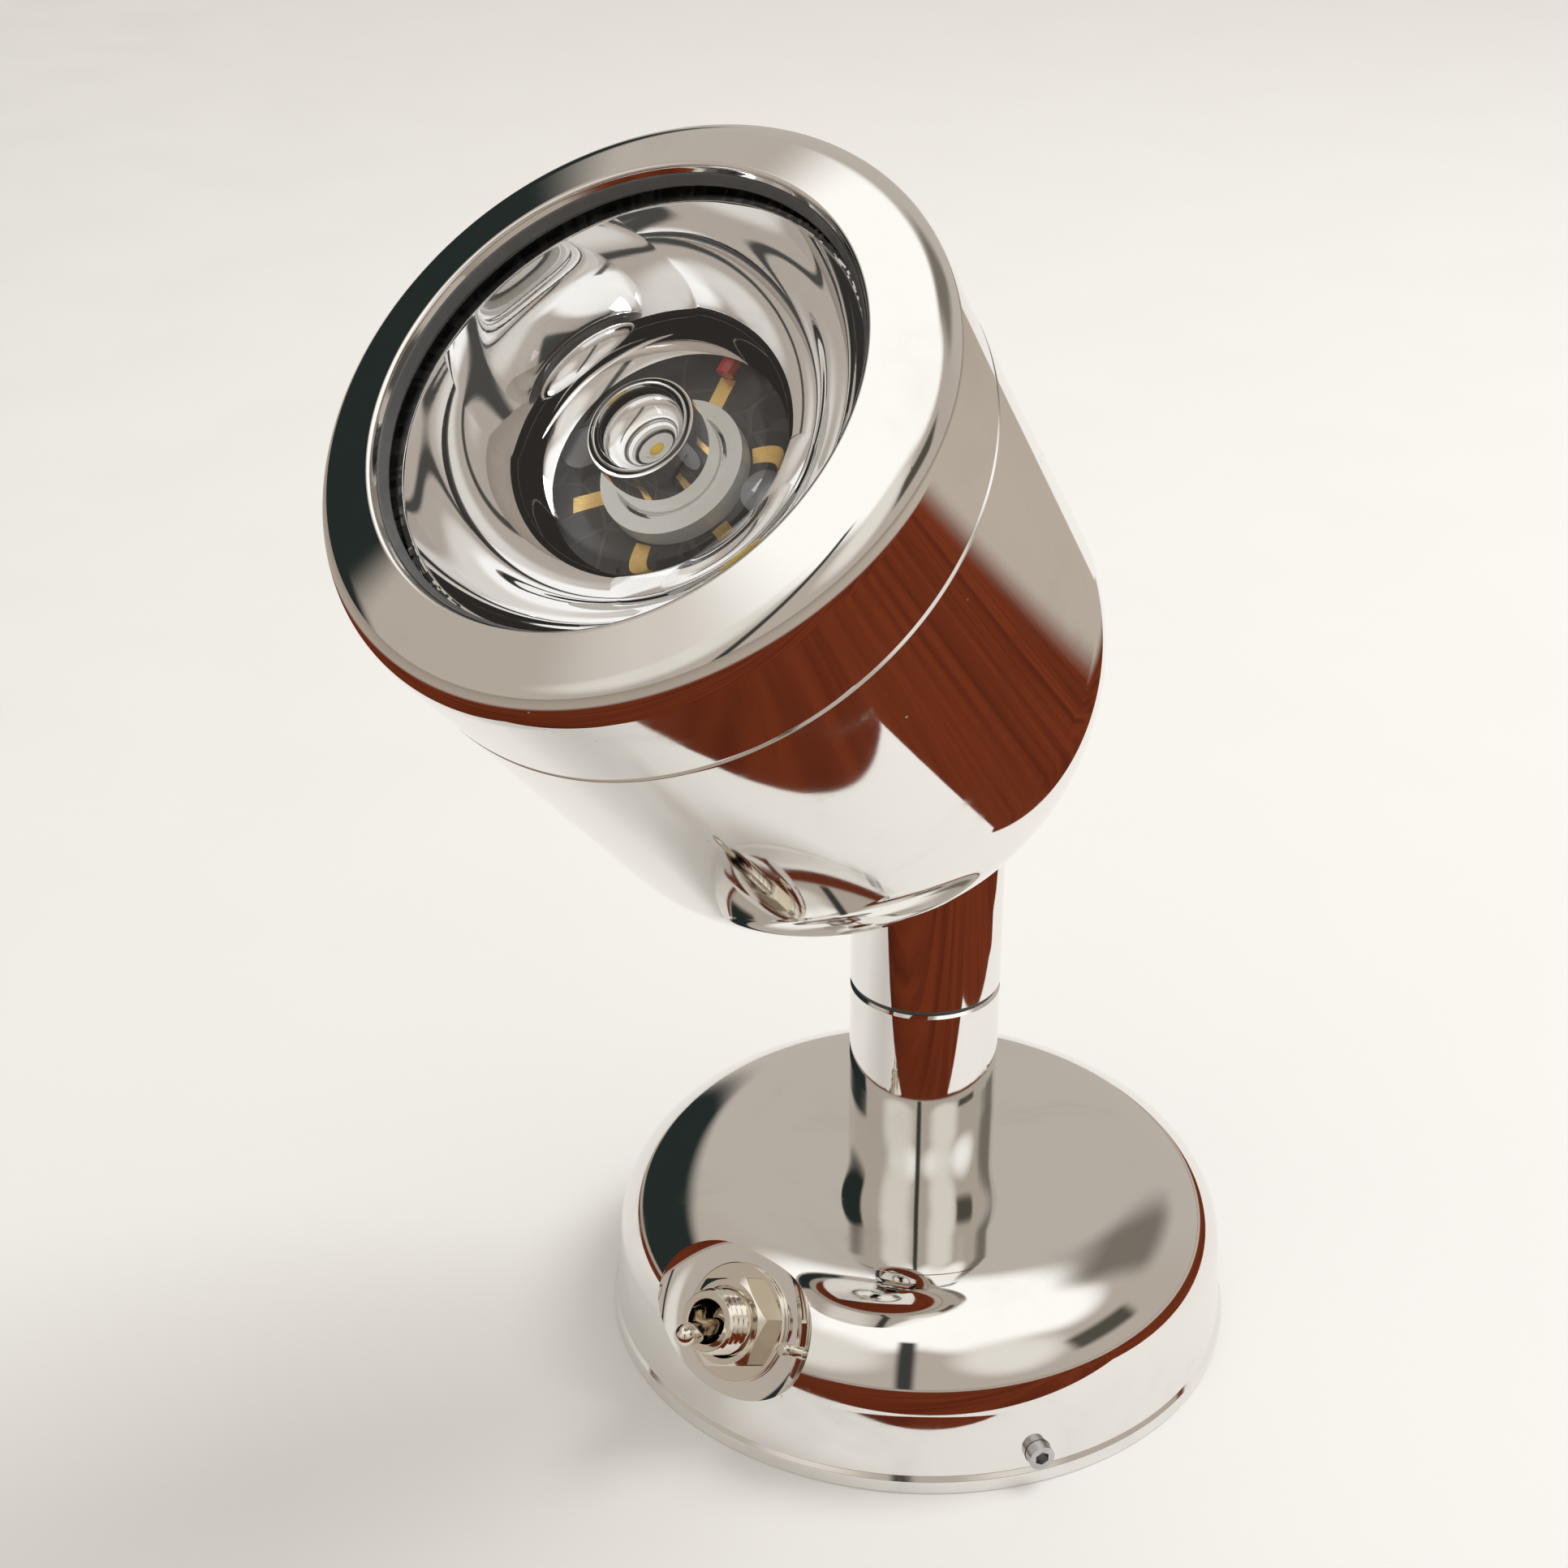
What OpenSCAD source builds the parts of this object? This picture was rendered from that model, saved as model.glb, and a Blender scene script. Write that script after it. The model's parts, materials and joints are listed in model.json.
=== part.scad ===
// Reading light: a bullet head on a swivelling stem, with a toggle switch in its round base.
// Millimetres. The origin is the centre of the base on the mounting surface, +Z is up the stem,
// and the head faces -Y. Heights named _z are above the mounting surface. Distances named _u run
// along the head's own axis, forward from the tilt axis.

/* [Base cover] */
// Radius of the base cover at its foot
base_r = 30; // [28:0.5:36]
// Height of the base cover
base_h = 17; // [16:0.5:22]
// Wall of the base cover
base_wall = 1.3; // [1:0.1:1.6]
// Height at which the rim turns into the shoulder
rim_h = 8; // [7:0.5:9]
// How much the rim narrows from foot to shoulder
rim_draft = 0.5; // [0.3:0.1:1]
// Radial width of the rounded shoulder
shoulder_w = 10.5; // [9:0.5:12]
// Depth of the shallow dish round the stem
dish_d = 0.5; // [0.2:0.1:0.8]
// Outer radius of the dish
dish_r = 15; // [12:0.5:17]
// Height of the rolled lip at the foot
lip_h = 1.8; // [1.2:0.1:2.4]
// How far the rolled lip stands proud of the rim
lip_out = 0.3; // [0.1:0.05:0.5]

/* [Mounting plate] */
// Thickness of the mounting plate
plate_t = 2; // [1.5:0.1:2.4]
// Height of the plate's upstand
upstand_h = 5.2; // [4.6:0.1:5.6]
// Wall of the upstand
upstand_wall = 1.2; // [0.8:0.1:1.5]
// Distance between the two fixing slots
fix_spacing = 40; // [36:1:42]
// Half the width of a fixing slot
fix_hole_r = 2.1; // [1.7:0.1:2.5]
// Length of a fixing slot from end to end
fix_slot_len = 8; // [6:0.5:9]
// Radius of the cable hole
cable_hole_r = 4.5; // [3:0.5:6]
// Radius of the set screw in the rim
set_screw_r = 1.2; // [1:0.1:1.4]
// Height of the set screw
set_screw_z = 3.2; // [3:0.1:3.6]
// Bearing of the set screw
set_screw_az = -36.5; // [-60:0.5:-10]
// How far the set screw stands out of the rim
set_screw_out = 0.9; // [0.4:0.1:1.4]

/* [Switch] */
// Bearing of the switch
switch_az = -97; // [-110:1:-80]
// Angle of the switch above the horizontal
switch_el = 31; // [28:1:34]
// Depth of the switch's flat below the crown of the shoulder
land_d = 2.4; // [2:0.1:2.6]
// How far down the shoulder the middle of the flat is set
land_drop = 0.15; // [0:0.05:0.4]
// Radius of the flat
land_flat_r = 6.5; // [6.2:0.1:7]
// Radius of the switch bushing
bushing_r = 2.95; // [2.5:0.05:3.1]
// Radius of the bore of the bushing
bushing_bore_r = 2; // [1.9:0.05:2.1]
// Height of the bushing above the flat
bushing_out = 4.9; // [4.4:0.1:5.4]
// Width of the switch nut across its flats
nut_af = 7.8; // [7.2:0.1:8.4]
// Thickness of the switch nut
nut_t = 1.7; // [1.4:0.1:2.2]
// Turn of the switch nut
nut_turn = -5; // [-30:1:30]
// Length of the switch case
case_len = 7.8; // [7:0.1:8]
// Width of the switch case
case_w = 6.8; // [5:0.1:7]
// Depth of the switch case
case_d = 6.4; // [5.6:0.1:6.8]
// Total throw of the lever
lever_throw = 24; // [18:1:25]
// Length of the lever from its pivot to its tip
lever_len = 6.4; // [5.5:0.1:9]
// Radius of the lever's round tip
lever_tip_r = 1.05; // [0.9:0.05:1.2]
// Radius of the lever at its root
lever_root_r = 0.8; // [0.6:0.05:0.9]
// Depth of the lever's pivot below the bushing's mouth
lever_pivot_d = 4; // [3.2:0.1:4.2]

/* [Stem] */
// Radius of the stem
stem_r = 7; // [6.7:0.1:7.5]
// Length of the lower stem
lower_len = 19; // [17:0.5:26]
// Length of the upper stem, up to the tilt axis
upper_len = 18.9; // [17.5:0.1:26]
// Wall of the lower stem
stem_wall = 1.15; // [1:0.05:1.4]
// Radius of the spindle
spindle_r = 5; // [4.8:0.1:5.2]
// Length of the spindle's bearing in the lower stem
bearing_len = 9; // [6:0.5:11]
// Length of the spindle in the upper stem
spindle_grip = 9; // [6:0.5:10]
// Radius of the wire channel up the stem
wire_bore_r = 3; // [2.5:0.1:3.3]
// Radius of the hollow stud that holds the stem on the base
stud_r = 5; // [4.5:0.1:5.4]
// How far the stud reaches below the top of the base
stud_drop = 6.5; // [5.5:0.1:7]
// Height of the stem nut
stem_nut_t = 3; // [2:0.1:3.4]
// Width of the stem nut across its flats
stem_nut_af = 14; // [12.5:0.5:15]
// Turn of the swivel to either side, up to its stop
swivel_range = 165; // [90:1:165]

/* [Knuckle] */
// Half the width of the slot between the two ears
slot_half = 3.1; // [2.8:0.1:3.3]
// Radius of the round tops of the ears
ear_r = 6; // [5.6:0.1:6.1]
// Thickness of the tongue
tongue_t = 5.2; // [4.6:0.1:5.3]
// Radius of the round end of the tongue
tongue_r = 5.4; // [4.8:0.1:5.6]
// Radius of the pivot screw
pivot_r = 2; // [1.6:0.1:2.2]
// Radius of the pivot screw's head
pivot_head_r = 3; // [2.8:0.1:3.1]
// Height of the pivot screw's head
pivot_head_h = 1.3; // [1:0.1:1.4]
// Radius of the threaded neck that holds the shell
neck_r = 4; // [3.6:0.1:4.4]

/* [Head shell] */
// Angle of the head above the horizontal
head_el = 48; // [30:1:60]
// Gap between the round tops of the ears and the rear of the shell
pole_gap = 0.5; // [0.4:0.05:1]
// Length of the rounded rear
dome_len = 20.5; // [18:0.5:24]
// Radius where the rounded rear meets the skirt
dome_r = 23.4; // [22.5:0.1:25]
// Length of the skirt up to the bezel
skirt_len = 26.9; // [24:0.1:32]
// How much the skirt widens up to the bezel
skirt_flare = 0.8; // [0.6:0.1:1.2]
// Wall of the shell at its rear
shell_wall = 1.6; // [1.4:0.1:2]
// Width of the ledge that the heat sink rests on
ledge_w = 0.4; // [0.2:0.05:0.6]
// Length of the threaded spigot that the bezel screws onto
spigot_len = 6; // [4:0.5:7]
// Wall of the spigot
spigot_wall = 0.85; // [0.7:0.05:0.9]

/* [Bezel] */
// How much the bezel widens from the seam
bezel_flare = 0.3; // [0.1:0.05:0.6]
// Length of the bezel
bezel_len = 12; // [11.5:0.1:14]
// Radius of the bezel's outer rounding
bezel_round = 2.8; // [2:0.1:3.2]
// Slope of the bezel's face
face_slope = 15; // [8:1:20]
// Width of the bezel's face, from its outer edge to the inner lip
face_w = 5.6; // [5.2:0.1:5.8]
// Radius of the rounding on the inner lip
lip_round = 0.3; // [0.2:0.05:0.4]
// How much the throat narrows from the inner lip to the clear window
throat_in = 0.6; // [0.4:0.1:1.2]

/* [Lens] */
// Depth of the lens below the inner lip
lens_recess = 2; // [1.8:0.1:2.6]
// Height of the lens
lens_h = 14.4; // [13.4:0.1:14.4]
// Gap round the lens flange
flange_gap = 0.4; // [0.1:0.05:0.8]
// Thickness of the lens flange
flange_t = 1.4; // [1:0.1:2]
// Radius of the lens at its rear
lens_rear_r = 6.8; // [6:0.1:7.2]
// How far inside the window the reflecting wall meets the flange
wall_inset = 0.5; // [0.3:0.1:1.2]
// Radius of the well round the emitter
well_r = 4.1; // [3.8:0.1:4.3]
// Depth of the top of the well below the lens face
well_top_d = 5.3; // [4.5:0.1:7]
// Height of the small lens that bulges into the well
well_bulge = 1.3; // [0.6:0.1:1.8]
// Height of the locating ring that holds the lens off the emitter board
locator_h = 1.5; // [1.4:0.1:2.2]
// Thickness of the gasket in front of the lens
gasket_t = 0.5; // [0.3:0.1:0.8]

/* [Light source] */
// Thickness of the heat sink
sink_t = 3.4; // [2.5:0.1:3.6]
// Radius of the emitter board
board_r = 10; // [9.5:0.1:11]
// Thickness of the emitter board
board_t = 1.6; // [1:0.1:1.8]
// Width of the emitter's square base
emitter_w = 3.45; // [3:0.05:4]
// Height of the emitter's base
emitter_h = 0.7; // [0.5:0.1:1]
// Radius of the emitter's dome
emitter_dome_r = 1.4; // [1:0.1:1.5]
// Inner radius of the white locating ring
locator_in_r = 4.4; // [4.2:0.1:4.6]
// Outer radius of the white locating ring
locator_r = 5.6; // [5.2:0.1:5.8]
// Radius of the driver board
driver_r = 16.5; // [15:0.5:17]
// Gap between the driver board and the heat sink
driver_gap = 11.4; // [9:0.2:13]
// Radius of a wire
wire_r = 0.7; // [0.5:0.05:0.75]

/* [Hidden] */
$fn = 96;

// Clearances shared by the fits
run_fit = 0.05;
seat_gap = 0.3;
overrun = 1;
arc_steps = 16;

// Base cover
shoulder_h = base_h - rim_h;
shoulder_r = base_r - lip_out - rim_draft;
crown_r = shoulder_r - shoulder_w;
top_z = base_h - dish_d;
inner_foot_r = base_r - lip_out - base_wall;
inner_rim_r = shoulder_r - base_wall;
land_blend = 0.8;
land_open = 3.2;
pad_r = land_flat_r + base_wall;
crown_turn = atan(tan(switch_el) * shoulder_h / shoulder_w);
land_r = crown_r + shoulder_w * cos(crown_turn) - land_d * cos(switch_el) + land_drop * sin(switch_el);
land_z = rim_h + shoulder_h * sin(crown_turn) - land_d * sin(switch_el) - land_drop * cos(switch_el);

// Mounting plate
plate_clear = 0.35;
upstand_r = inner_rim_r - plate_clear;
inner_top_z = top_z - base_wall;

// Switch
washer_r = 5.4;
washer_t = 0.5;
key_r = 0.5;
key_h = 0.9;
lock_washer_t = 0.35;
lock_washer_r = 4.2;
nut_chamfer = 0.35;
lever_ball_r = bushing_bore_r - seat_gap / 2;
lever_tail = 1.6;
case_frame_t = 0.6;
case_cap = 1.8;
case_top = base_wall + lock_washer_t;
terminal_pitch = 2.5;
terminal_len = 2.8;
terminal_w = 1.6;
terminal_t = 0.6;
lever_pivot = bushing_out - lever_pivot_d;

// Stem
swivel_gap = 0.3;
swivel_z = top_z + lower_len;
arm_z = swivel_z + swivel_gap;
hinge_z = arm_z + upper_len;
stud_head_r = stem_r - stem_wall - run_fit;
stud_head_t = 4;
bearing_z = swivel_z - bearing_len;
spring_washer_t = 0.7;
ring_t = 0.8;
ring_seat = 0.5;
spindle_end_z = bearing_z - spring_washer_t - ring_t - ring_seat;
spindle_top_z = arm_z + spindle_grip;
slot_floor_z = hinge_z - ear_r - seat_gap;
stop_groove_r = (spindle_r + stem_r) / 2;
stop_groove_w = 1.1;
stop_groove_d = 1.5;
stop_pin_r = 0.45;
stop_pin_grip = 2;
stop_lug_w = 2 * (stop_groove_r * sin(swivel_range) - stop_pin_r - run_fit);
stem_chamfer = 0.25;
stem_washer_t = 0.8;
stem_washer_r = 8.2;

// Knuckle
tongue_half = tongue_t / 2;
ear_seat_t = 1.9;
pivot_seat_x = slot_half + ear_seat_t;
pivot_inset = 0.7;
pivot_end_x = -(stem_r - pivot_inset);
ear_drop = 7.2;
tilt_washer_t = slot_half - tongue_half - run_fit;
tilt_washer_r = 4.6;
boss_r = 2.9;
wire_groove_d = 1.8;
neck_bore_r = 1.9;
seat_disc_r = 5.2;
seat_disc_gap = 0.15;
seat_disc_u = ear_r + seat_disc_gap;
neck_nut_t = 3;
neck_nut_af = 13;
neck_washer_t = 0.8;
neck_washer_r = 6.8;
neck_spare = 1;

// Head shell
pole_u = ear_r + pole_gap;
dome_u = pole_u + dome_len;
seam_u = dome_u + skirt_len;
front_u = seam_u + bezel_len;
seam_r = dome_r + skirt_flare;
inner_dome_r = dome_r - shell_wall;
inner_dome_len = dome_len - shell_wall;
neck_seat_u = dome_u - inner_dome_len * sqrt(1 - pow(neck_washer_r / inner_dome_r, 2));
neck_end_u = neck_seat_u + neck_washer_t + neck_nut_t + neck_spare;
shell_bore_r = inner_dome_r + ledge_w;
spigot_r = shell_bore_r + spigot_wall;
spigot_u = seam_u + spigot_len;
seal_t = 0.8;
seam_chamfer = 0.2;

// Bezel
bezel_r = seam_r + bezel_flare;
lip_r = bezel_r - face_w;
window_r = lip_r - throat_in;
lens_wall_r = window_r - wall_inset;
lip_steps = 8;
face_normal = 90 - face_slope;
round_c_r = bezel_r - bezel_round;
face_in_r = round_c_r + bezel_round * cos(face_normal);
face_run = face_in_r - lip_r - lip_round;
round_c_u = front_u - face_run * tan(face_slope) - bezel_round * sin(face_normal);
bezel_bore_r = spigot_r + run_fit;
pocket_r = shell_bore_r + run_fit;

// Lens and light source
lens_u = front_u - lens_recess;
lens_rear_u = lens_u - lens_h;
gasket_u = lens_u + gasket_t;
flange_r = pocket_r - flange_gap;
board_u = lens_rear_u - locator_h;
sink_u = board_u - board_t;
ledge_u = sink_u - sink_t;
spacer_r = shell_bore_r - run_fit;
spacer_wall = 1.1;
board_screw_at = 8;
board_screw_r = 1.25;
board_screw_head_r = 1.75;
board_screw_head_h = 1.2;
pad_count = 6;
pad_w = 1.3;
pad_len = 2.5;
pad_t = 0.06;
pad_in_r = 5.8;
driver_t = 1.6;
driver_u = ledge_u - driver_gap - driver_t;
spacer_at = 13.2;
spacer_turn = 60;
driver_spacer_r = 2.5;
driver_screw_r = 1.25;
driver_head_r = 2.2;
driver_head_h = 1.4;
sink_hole_r = 1.9;
sink_hole_at = 13.2;
wire_ring_sides = 8;
corner_share = 0.25;
wall_bow_share = 0.35;
blend_share = 1 / 3;
tip_start = -10;

// Places
function arc_pts(cx, cy, rx, ry, a0, a1, steps = arc_steps) =
    [for (i = [0 : steps]) let (a = a0 + (a1 - a0) * i / steps) [cx + rx * cos(a), cy + ry * sin(a)]];

// Height of the dished top at a radius, from the flat round the stem out to the crown
function dish_z(r) =
    base_h - dish_d * (r >= dish_r ? 0
        : r <= stem_r ? 1
        : (1 + cos(180 * (r - stem_r) / (dish_r - stem_r))) / 2);

function dish_pts(drop) =
    [for (i = [0 : arc_steps]) let (r = dish_r + (stem_r - dish_r) * i / arc_steps) [r, dish_z(r) - drop]];

module switch_frame()
    translate([land_r * cos(switch_az), land_r * sin(switch_az), land_z])
        rotate([0, 90 - switch_el, switch_az]) children();

module head_frame() translate([0, 0, hinge_z]) rotate([90 - head_el, 0, 0]) children();

module ring(r_out, r_in, h, z = 0)
    translate([0, 0, z]) difference() {
        cylinder(r = r_out, h = h);
        translate([0, 0, -overrun]) cylinder(r = r_in, h = h + 2 * overrun);
    }

module hex_nut(af, r_in, h, z = 0)
    translate([0, 0, z]) difference() {
        cylinder(r = af / sqrt(3), h = h, $fn = 6);
        translate([0, 0, -overrun]) cylinder(r = r_in, h = h + 2 * overrun);
    }

// Round tube of one radius along smoothed points
function mid(a, b, t) = a + (b - a) * t;
function cut_corners(p) =
    concat([p[0]],
           [for (i = [0 : len(p) - 2]) each [mid(p[i], p[i + 1], corner_share),
                 mid(p[i], p[i + 1], 1 - corner_share)]],
           [p[len(p) - 1]]);
function unit(v) = v / norm(v);
function tangent(p, i) = unit(p[min(i + 1, len(p) - 1)] - p[max(i - 1, 0)]);
function ring_pts(c, t, ref, r) =
    let (a = unit(cross(t, ref)), b = cross(t, a))
    [for (k = [0 : wire_ring_sides - 1]) let (q = 360 * k / wire_ring_sides) c + r * (cos(q) * a + sin(q) * b)];

module wire(route, r, ref) {
    p = cut_corners(cut_corners(route));
    n = len(p);
    s = wire_ring_sides;
    points = [for (i = [0 : n - 1]) each ring_pts(p[i], tangent(p, i), ref, r)];
    sides = [for (i = [0 : n - 2], k = [0 : s - 1]) each
        [[i * s + k, i * s + (k + 1) % s, (i + 1) * s + (k + 1) % s],
         [i * s + k, (i + 1) * s + (k + 1) % s, (i + 1) * s + k]]];
    start = [for (k = [1 : s - 2]) [0, k + 1, k]];
    end = [for (k = [1 : s - 2]) [(n - 1) * s, (n - 1) * s + k, (n - 1) * s + k + 1]];
    polyhedron(points, concat(sides, start, end));
}

// Base cover

module cover_outer()
    rotate_extrude() polygon(concat(
        [[0, 0], [base_r - lip_out / 2, 0], [base_r, lip_out / 2], [base_r, lip_h / 2]],
        [[base_r - lip_out, lip_h]],
        arc_pts(crown_r, rim_h, shoulder_w, shoulder_h, 0, 90),
        dish_pts(0),
        [[0, top_z]]));

module cover_inner()
    rotate_extrude() polygon(concat(
        [[0, -overrun], [inner_foot_r, -overrun], [inner_foot_r, lip_h]],
        arc_pts(crown_r, rim_h, shoulder_w - base_wall, shoulder_h - base_wall, 0, 90),
        dish_pts(base_wall),
        [[0, inner_top_z]]));

// Round cutter with a flared mouth, which leaves the flat for the switch with a soft edge
module land_cutter()
    switch_frame() rotate_extrude() polygon([
        [0, 0], [land_flat_r, 0], [land_flat_r + land_blend, land_blend * blend_share],
        [land_flat_r + 2 * land_blend, land_blend], [land_flat_r + land_open, land_open],
        [land_flat_r + land_open, bushing_out], [0, bushing_out]]);

// Spun cover with its flat, stem hole and the tapped hole for the set screw
module base_cover() {
    color("silver") difference() {
        cover_outer();
        difference() {
            cover_inner();
            switch_frame() translate([0, 0, -base_wall]) cylinder(r = pad_r, h = pad_r);
        }
        land_cutter();
        switch_frame() translate([0, 0, -bushing_out])
            cylinder(r = bushing_r + run_fit, h = 2 * bushing_out);
        cylinder(r = stud_r + run_fit, h = base_h + overrun);
        rotate([0, 0, set_screw_az]) translate([inner_foot_r - overrun, 0, set_screw_z])
            rotate([0, 90, 0]) cylinder(r = set_screw_r, h = base_wall + 2 * overrun);
    }
}

module fixing_slot()
    for (end = [-1, 1]) translate([end * (fix_slot_len / 2 - fix_hole_r), 0, 0])
        cylinder(r = fix_hole_r, h = plate_t + 2 * overrun);

module mounting_plate() {
    color("lightgray") difference() {
        cylinder(r = upstand_r, h = upstand_h);
        translate([0, 0, plate_t]) cylinder(r = upstand_r - upstand_wall, h = upstand_h);
        translate([0, 0, -overrun]) cylinder(r = cable_hole_r, h = plate_t + 2 * overrun);
        for (side = [-1, 1]) translate([side * fix_spacing / 2, 0, -overrun]) {
            fixing_slot();
            translate([-(fix_slot_len / 2 - fix_hole_r), -fix_hole_r, 0])
                cube([fix_slot_len - 2 * fix_hole_r, 2 * fix_hole_r, plate_t + 2 * overrun]);
        }
    }
}

module set_screw() {
    tip_r = base_r - lip_out + set_screw_out;
    hex_af = set_screw_r;
    hex_d = set_screw_r;
    color("silver") rotate([0, 0, set_screw_az]) translate([upstand_r, 0, set_screw_z])
        rotate([0, 90, 0]) difference() {
            cylinder(r = set_screw_r, h = tip_r - upstand_r);
            translate([0, 0, tip_r - upstand_r - hex_d])
                cylinder(r = hex_af / sqrt(3), h = hex_d + overrun, $fn = 6);
        }
}

// Stem

module lower_stem() {
    color("silver") difference() {
        rotate_extrude() polygon([
            [0, top_z], [stem_r, top_z], [stem_r, swivel_z - stem_chamfer],
            [stem_r - stem_chamfer, swivel_z], [0, swivel_z]]);
        translate([0, 0, top_z - overrun])
            cylinder(r = stem_r - stem_wall, h = bearing_z - top_z + overrun);
        translate([0, 0, bearing_z - overrun])
            cylinder(r = spindle_r + run_fit, h = bearing_len + 2 * overrun);
        difference() {
            ring(stop_groove_r + stop_groove_w / 2, stop_groove_r - stop_groove_w / 2,
                 stop_groove_d + overrun, swivel_z - stop_groove_d);
            translate([0, spindle_r, swivel_z - stop_groove_d])
                translate([-stop_lug_w / 2, 0, -overrun])
                    cube([stop_lug_w, stem_r, stop_groove_d + 2 * overrun]);
        }
    }
}

module foot_stud() {
    color("darkgray") difference() {
        union() {
            translate([0, 0, top_z]) cylinder(r = stud_head_r, h = stud_head_t);
            translate([0, 0, top_z - stud_drop]) cylinder(r = stud_r, h = stud_drop + overrun);
        }
        translate([0, 0, top_z - stud_drop - overrun])
            cylinder(r = wire_bore_r, h = stud_drop + stud_head_t + 2 * overrun);
    }
}

module stem_washer()
    color("darkgray") ring(stem_washer_r, stud_r + run_fit, stem_washer_t, inner_top_z - stem_washer_t);

module stem_nut()
    color("darkgray")
        hex_nut(stem_nut_af, stud_r + run_fit, stem_nut_t, inner_top_z - stem_washer_t - stem_nut_t);

// Switch

module switch_bushing() {
    color("wheat") switch_frame() difference() {
        translate([0, 0, -case_top]) union() {
            cylinder(r = bushing_r, h = case_top + bushing_out - nut_chamfer);
            translate([0, 0, case_top + bushing_out - nut_chamfer])
                cylinder(r1 = bushing_r, r2 = bushing_r - nut_chamfer, h = nut_chamfer);
        }
        translate([0, 0, -case_top - overrun])
            cylinder(r = bushing_bore_r, h = case_top + bushing_out + 2 * overrun);
    }
}

module switch_washer() {
    color("wheat") switch_frame() difference() {
        union() {
            cylinder(r = washer_r, h = washer_t);
            translate([0, washer_r + key_r, 0]) cylinder(r = key_r, h = key_h);
            translate([-key_r, 0, 0]) cube([2 * key_r, washer_r + key_r, washer_t]);
        }
        translate([0, 0, -overrun]) cylinder(r = bushing_r + run_fit, h = washer_t + 2 * overrun);
    }
}

module switch_lock_washer()
    color("silver") switch_frame()
        ring(lock_washer_r, bushing_r + run_fit, lock_washer_t, -case_top);

// Hexagonal nut whose outer corners are turned away on a cone
module switch_nut() {
    corner_r = nut_af / sqrt(3);
    color("wheat") switch_frame() translate([0, 0, washer_t]) rotate([0, 0, nut_turn]) intersection() {
        hex_nut(nut_af, bushing_r + run_fit, nut_t);
        rotate_extrude() polygon([
            [0, 0], [corner_r + overrun, 0], [corner_r + overrun, nut_t - nut_chamfer - overrun / 2],
            [nut_af / 2 - nut_chamfer / 2, nut_t], [0, nut_t]]);
    }
}

module switch_case() {
    color("firebrick") switch_frame() {
        translate([-case_len / 2, -case_w / 2, -case_top - case_d])
            cube([case_len, case_w, case_d - case_cap]);
        translate([-case_len / 2 + case_frame_t, -case_w / 2 + case_frame_t, -case_top - case_cap])
            cube([case_len - 2 * case_frame_t, case_w - 2 * case_frame_t, case_cap]);
    }
}

module switch_terminals() {
    color("gold") switch_frame() for (side = [-1, 1])
        translate([side * terminal_pitch - terminal_t / 2, -terminal_w / 2,
                   -case_top - case_d - terminal_len])
            cube([terminal_t, terminal_w, terminal_len]);
}

// Lever at the lower end of its throw, with its ball in the bushing
module switch_lever() {
    color("silver") switch_frame() translate([0, 0, lever_pivot]) rotate([0, lever_throw / 2, 0]) {
        rotate_extrude() polygon(concat(
            [[0, -lever_tail], [lever_root_r, -lever_tail]],
            arc_pts(0, 0, lever_ball_r, lever_ball_r,
                    -acos(lever_root_r / lever_ball_r), acos(lever_root_r / lever_ball_r)),
            arc_pts(0, lever_len, lever_tip_r, lever_tip_r, tip_start, 90)));
    }
}

// Supply terminals inside the base

block_w = 10;
block_d = 7.5;
block_h = 7;
block_gap = 5.85;
block_y = upstand_r - upstand_wall - block_gap - block_d;
pole_x = 2.5;
entry_r = 1.1;
clamp_r = 1.3;
clamp_h = 2.4;

module terminal_block() {
    color("ivory") difference() {
        translate([-block_w / 2, block_y, plate_t]) cube([block_w, block_d, block_h]);
        for (side = [-1, 1]) {
            translate([side * pole_x, block_y - overrun, plate_t + block_h / 2 - entry_r])
                rotate([-90, 0, 0]) cylinder(r = entry_r, h = block_d + 2 * overrun);
            translate([side * pole_x, block_y + block_d / 2, plate_t + block_h - clamp_h])
                cylinder(r = clamp_r + run_fit, h = clamp_h + overrun);
        }
    }
}

module terminal_clamps()
    color("gold") for (side = [-1, 1])
        translate([side * pole_x, block_y + block_d / 2, plate_t + block_h - clamp_h])
            cylinder(r = clamp_r, h = clamp_h - seat_gap);

// Wires, with their routes as points chosen by hand

wire_z = plate_t + block_h / 2 - entry_r;
wire_end_y = block_y + block_d / 3;
stem_wire_x = 0.9;
terminal_d = case_top + case_d + terminal_len;

function land_point(x, depth) =
    let (out = land_r - depth * cos(switch_el) + x * sin(switch_el))
    [out * cos(switch_az), out * sin(switch_az), land_z - depth * sin(switch_el) - x * cos(switch_el)];

tag_side = terminal_t / 2 + wire_r + run_fit;
lower_tag = land_point(terminal_pitch - tag_side, terminal_d - wire_r);
upper_tag = land_point(-terminal_pitch - tag_side, terminal_d - wire_r);
wire_top_z = slot_floor_z - seat_gap;
floor_wire_z = plate_t + 2 * wire_r;
hole_pass = cable_hole_r + 5 * wire_r;

module feed_wire()
    color("red") wire([
        [pole_x, wire_end_y, wire_z], [pole_x, block_y - 4 * wire_r, wire_z],
        [hole_pass, cable_hole_r, floor_wire_z], [hole_pass, -cable_hole_r, floor_wire_z],
        [lower_tag[0] + cable_hole_r / 2, lower_tag[1] + 6 * wire_r, lower_tag[2]], lower_tag],
        wire_r, [0.1, 0, 1]);

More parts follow.
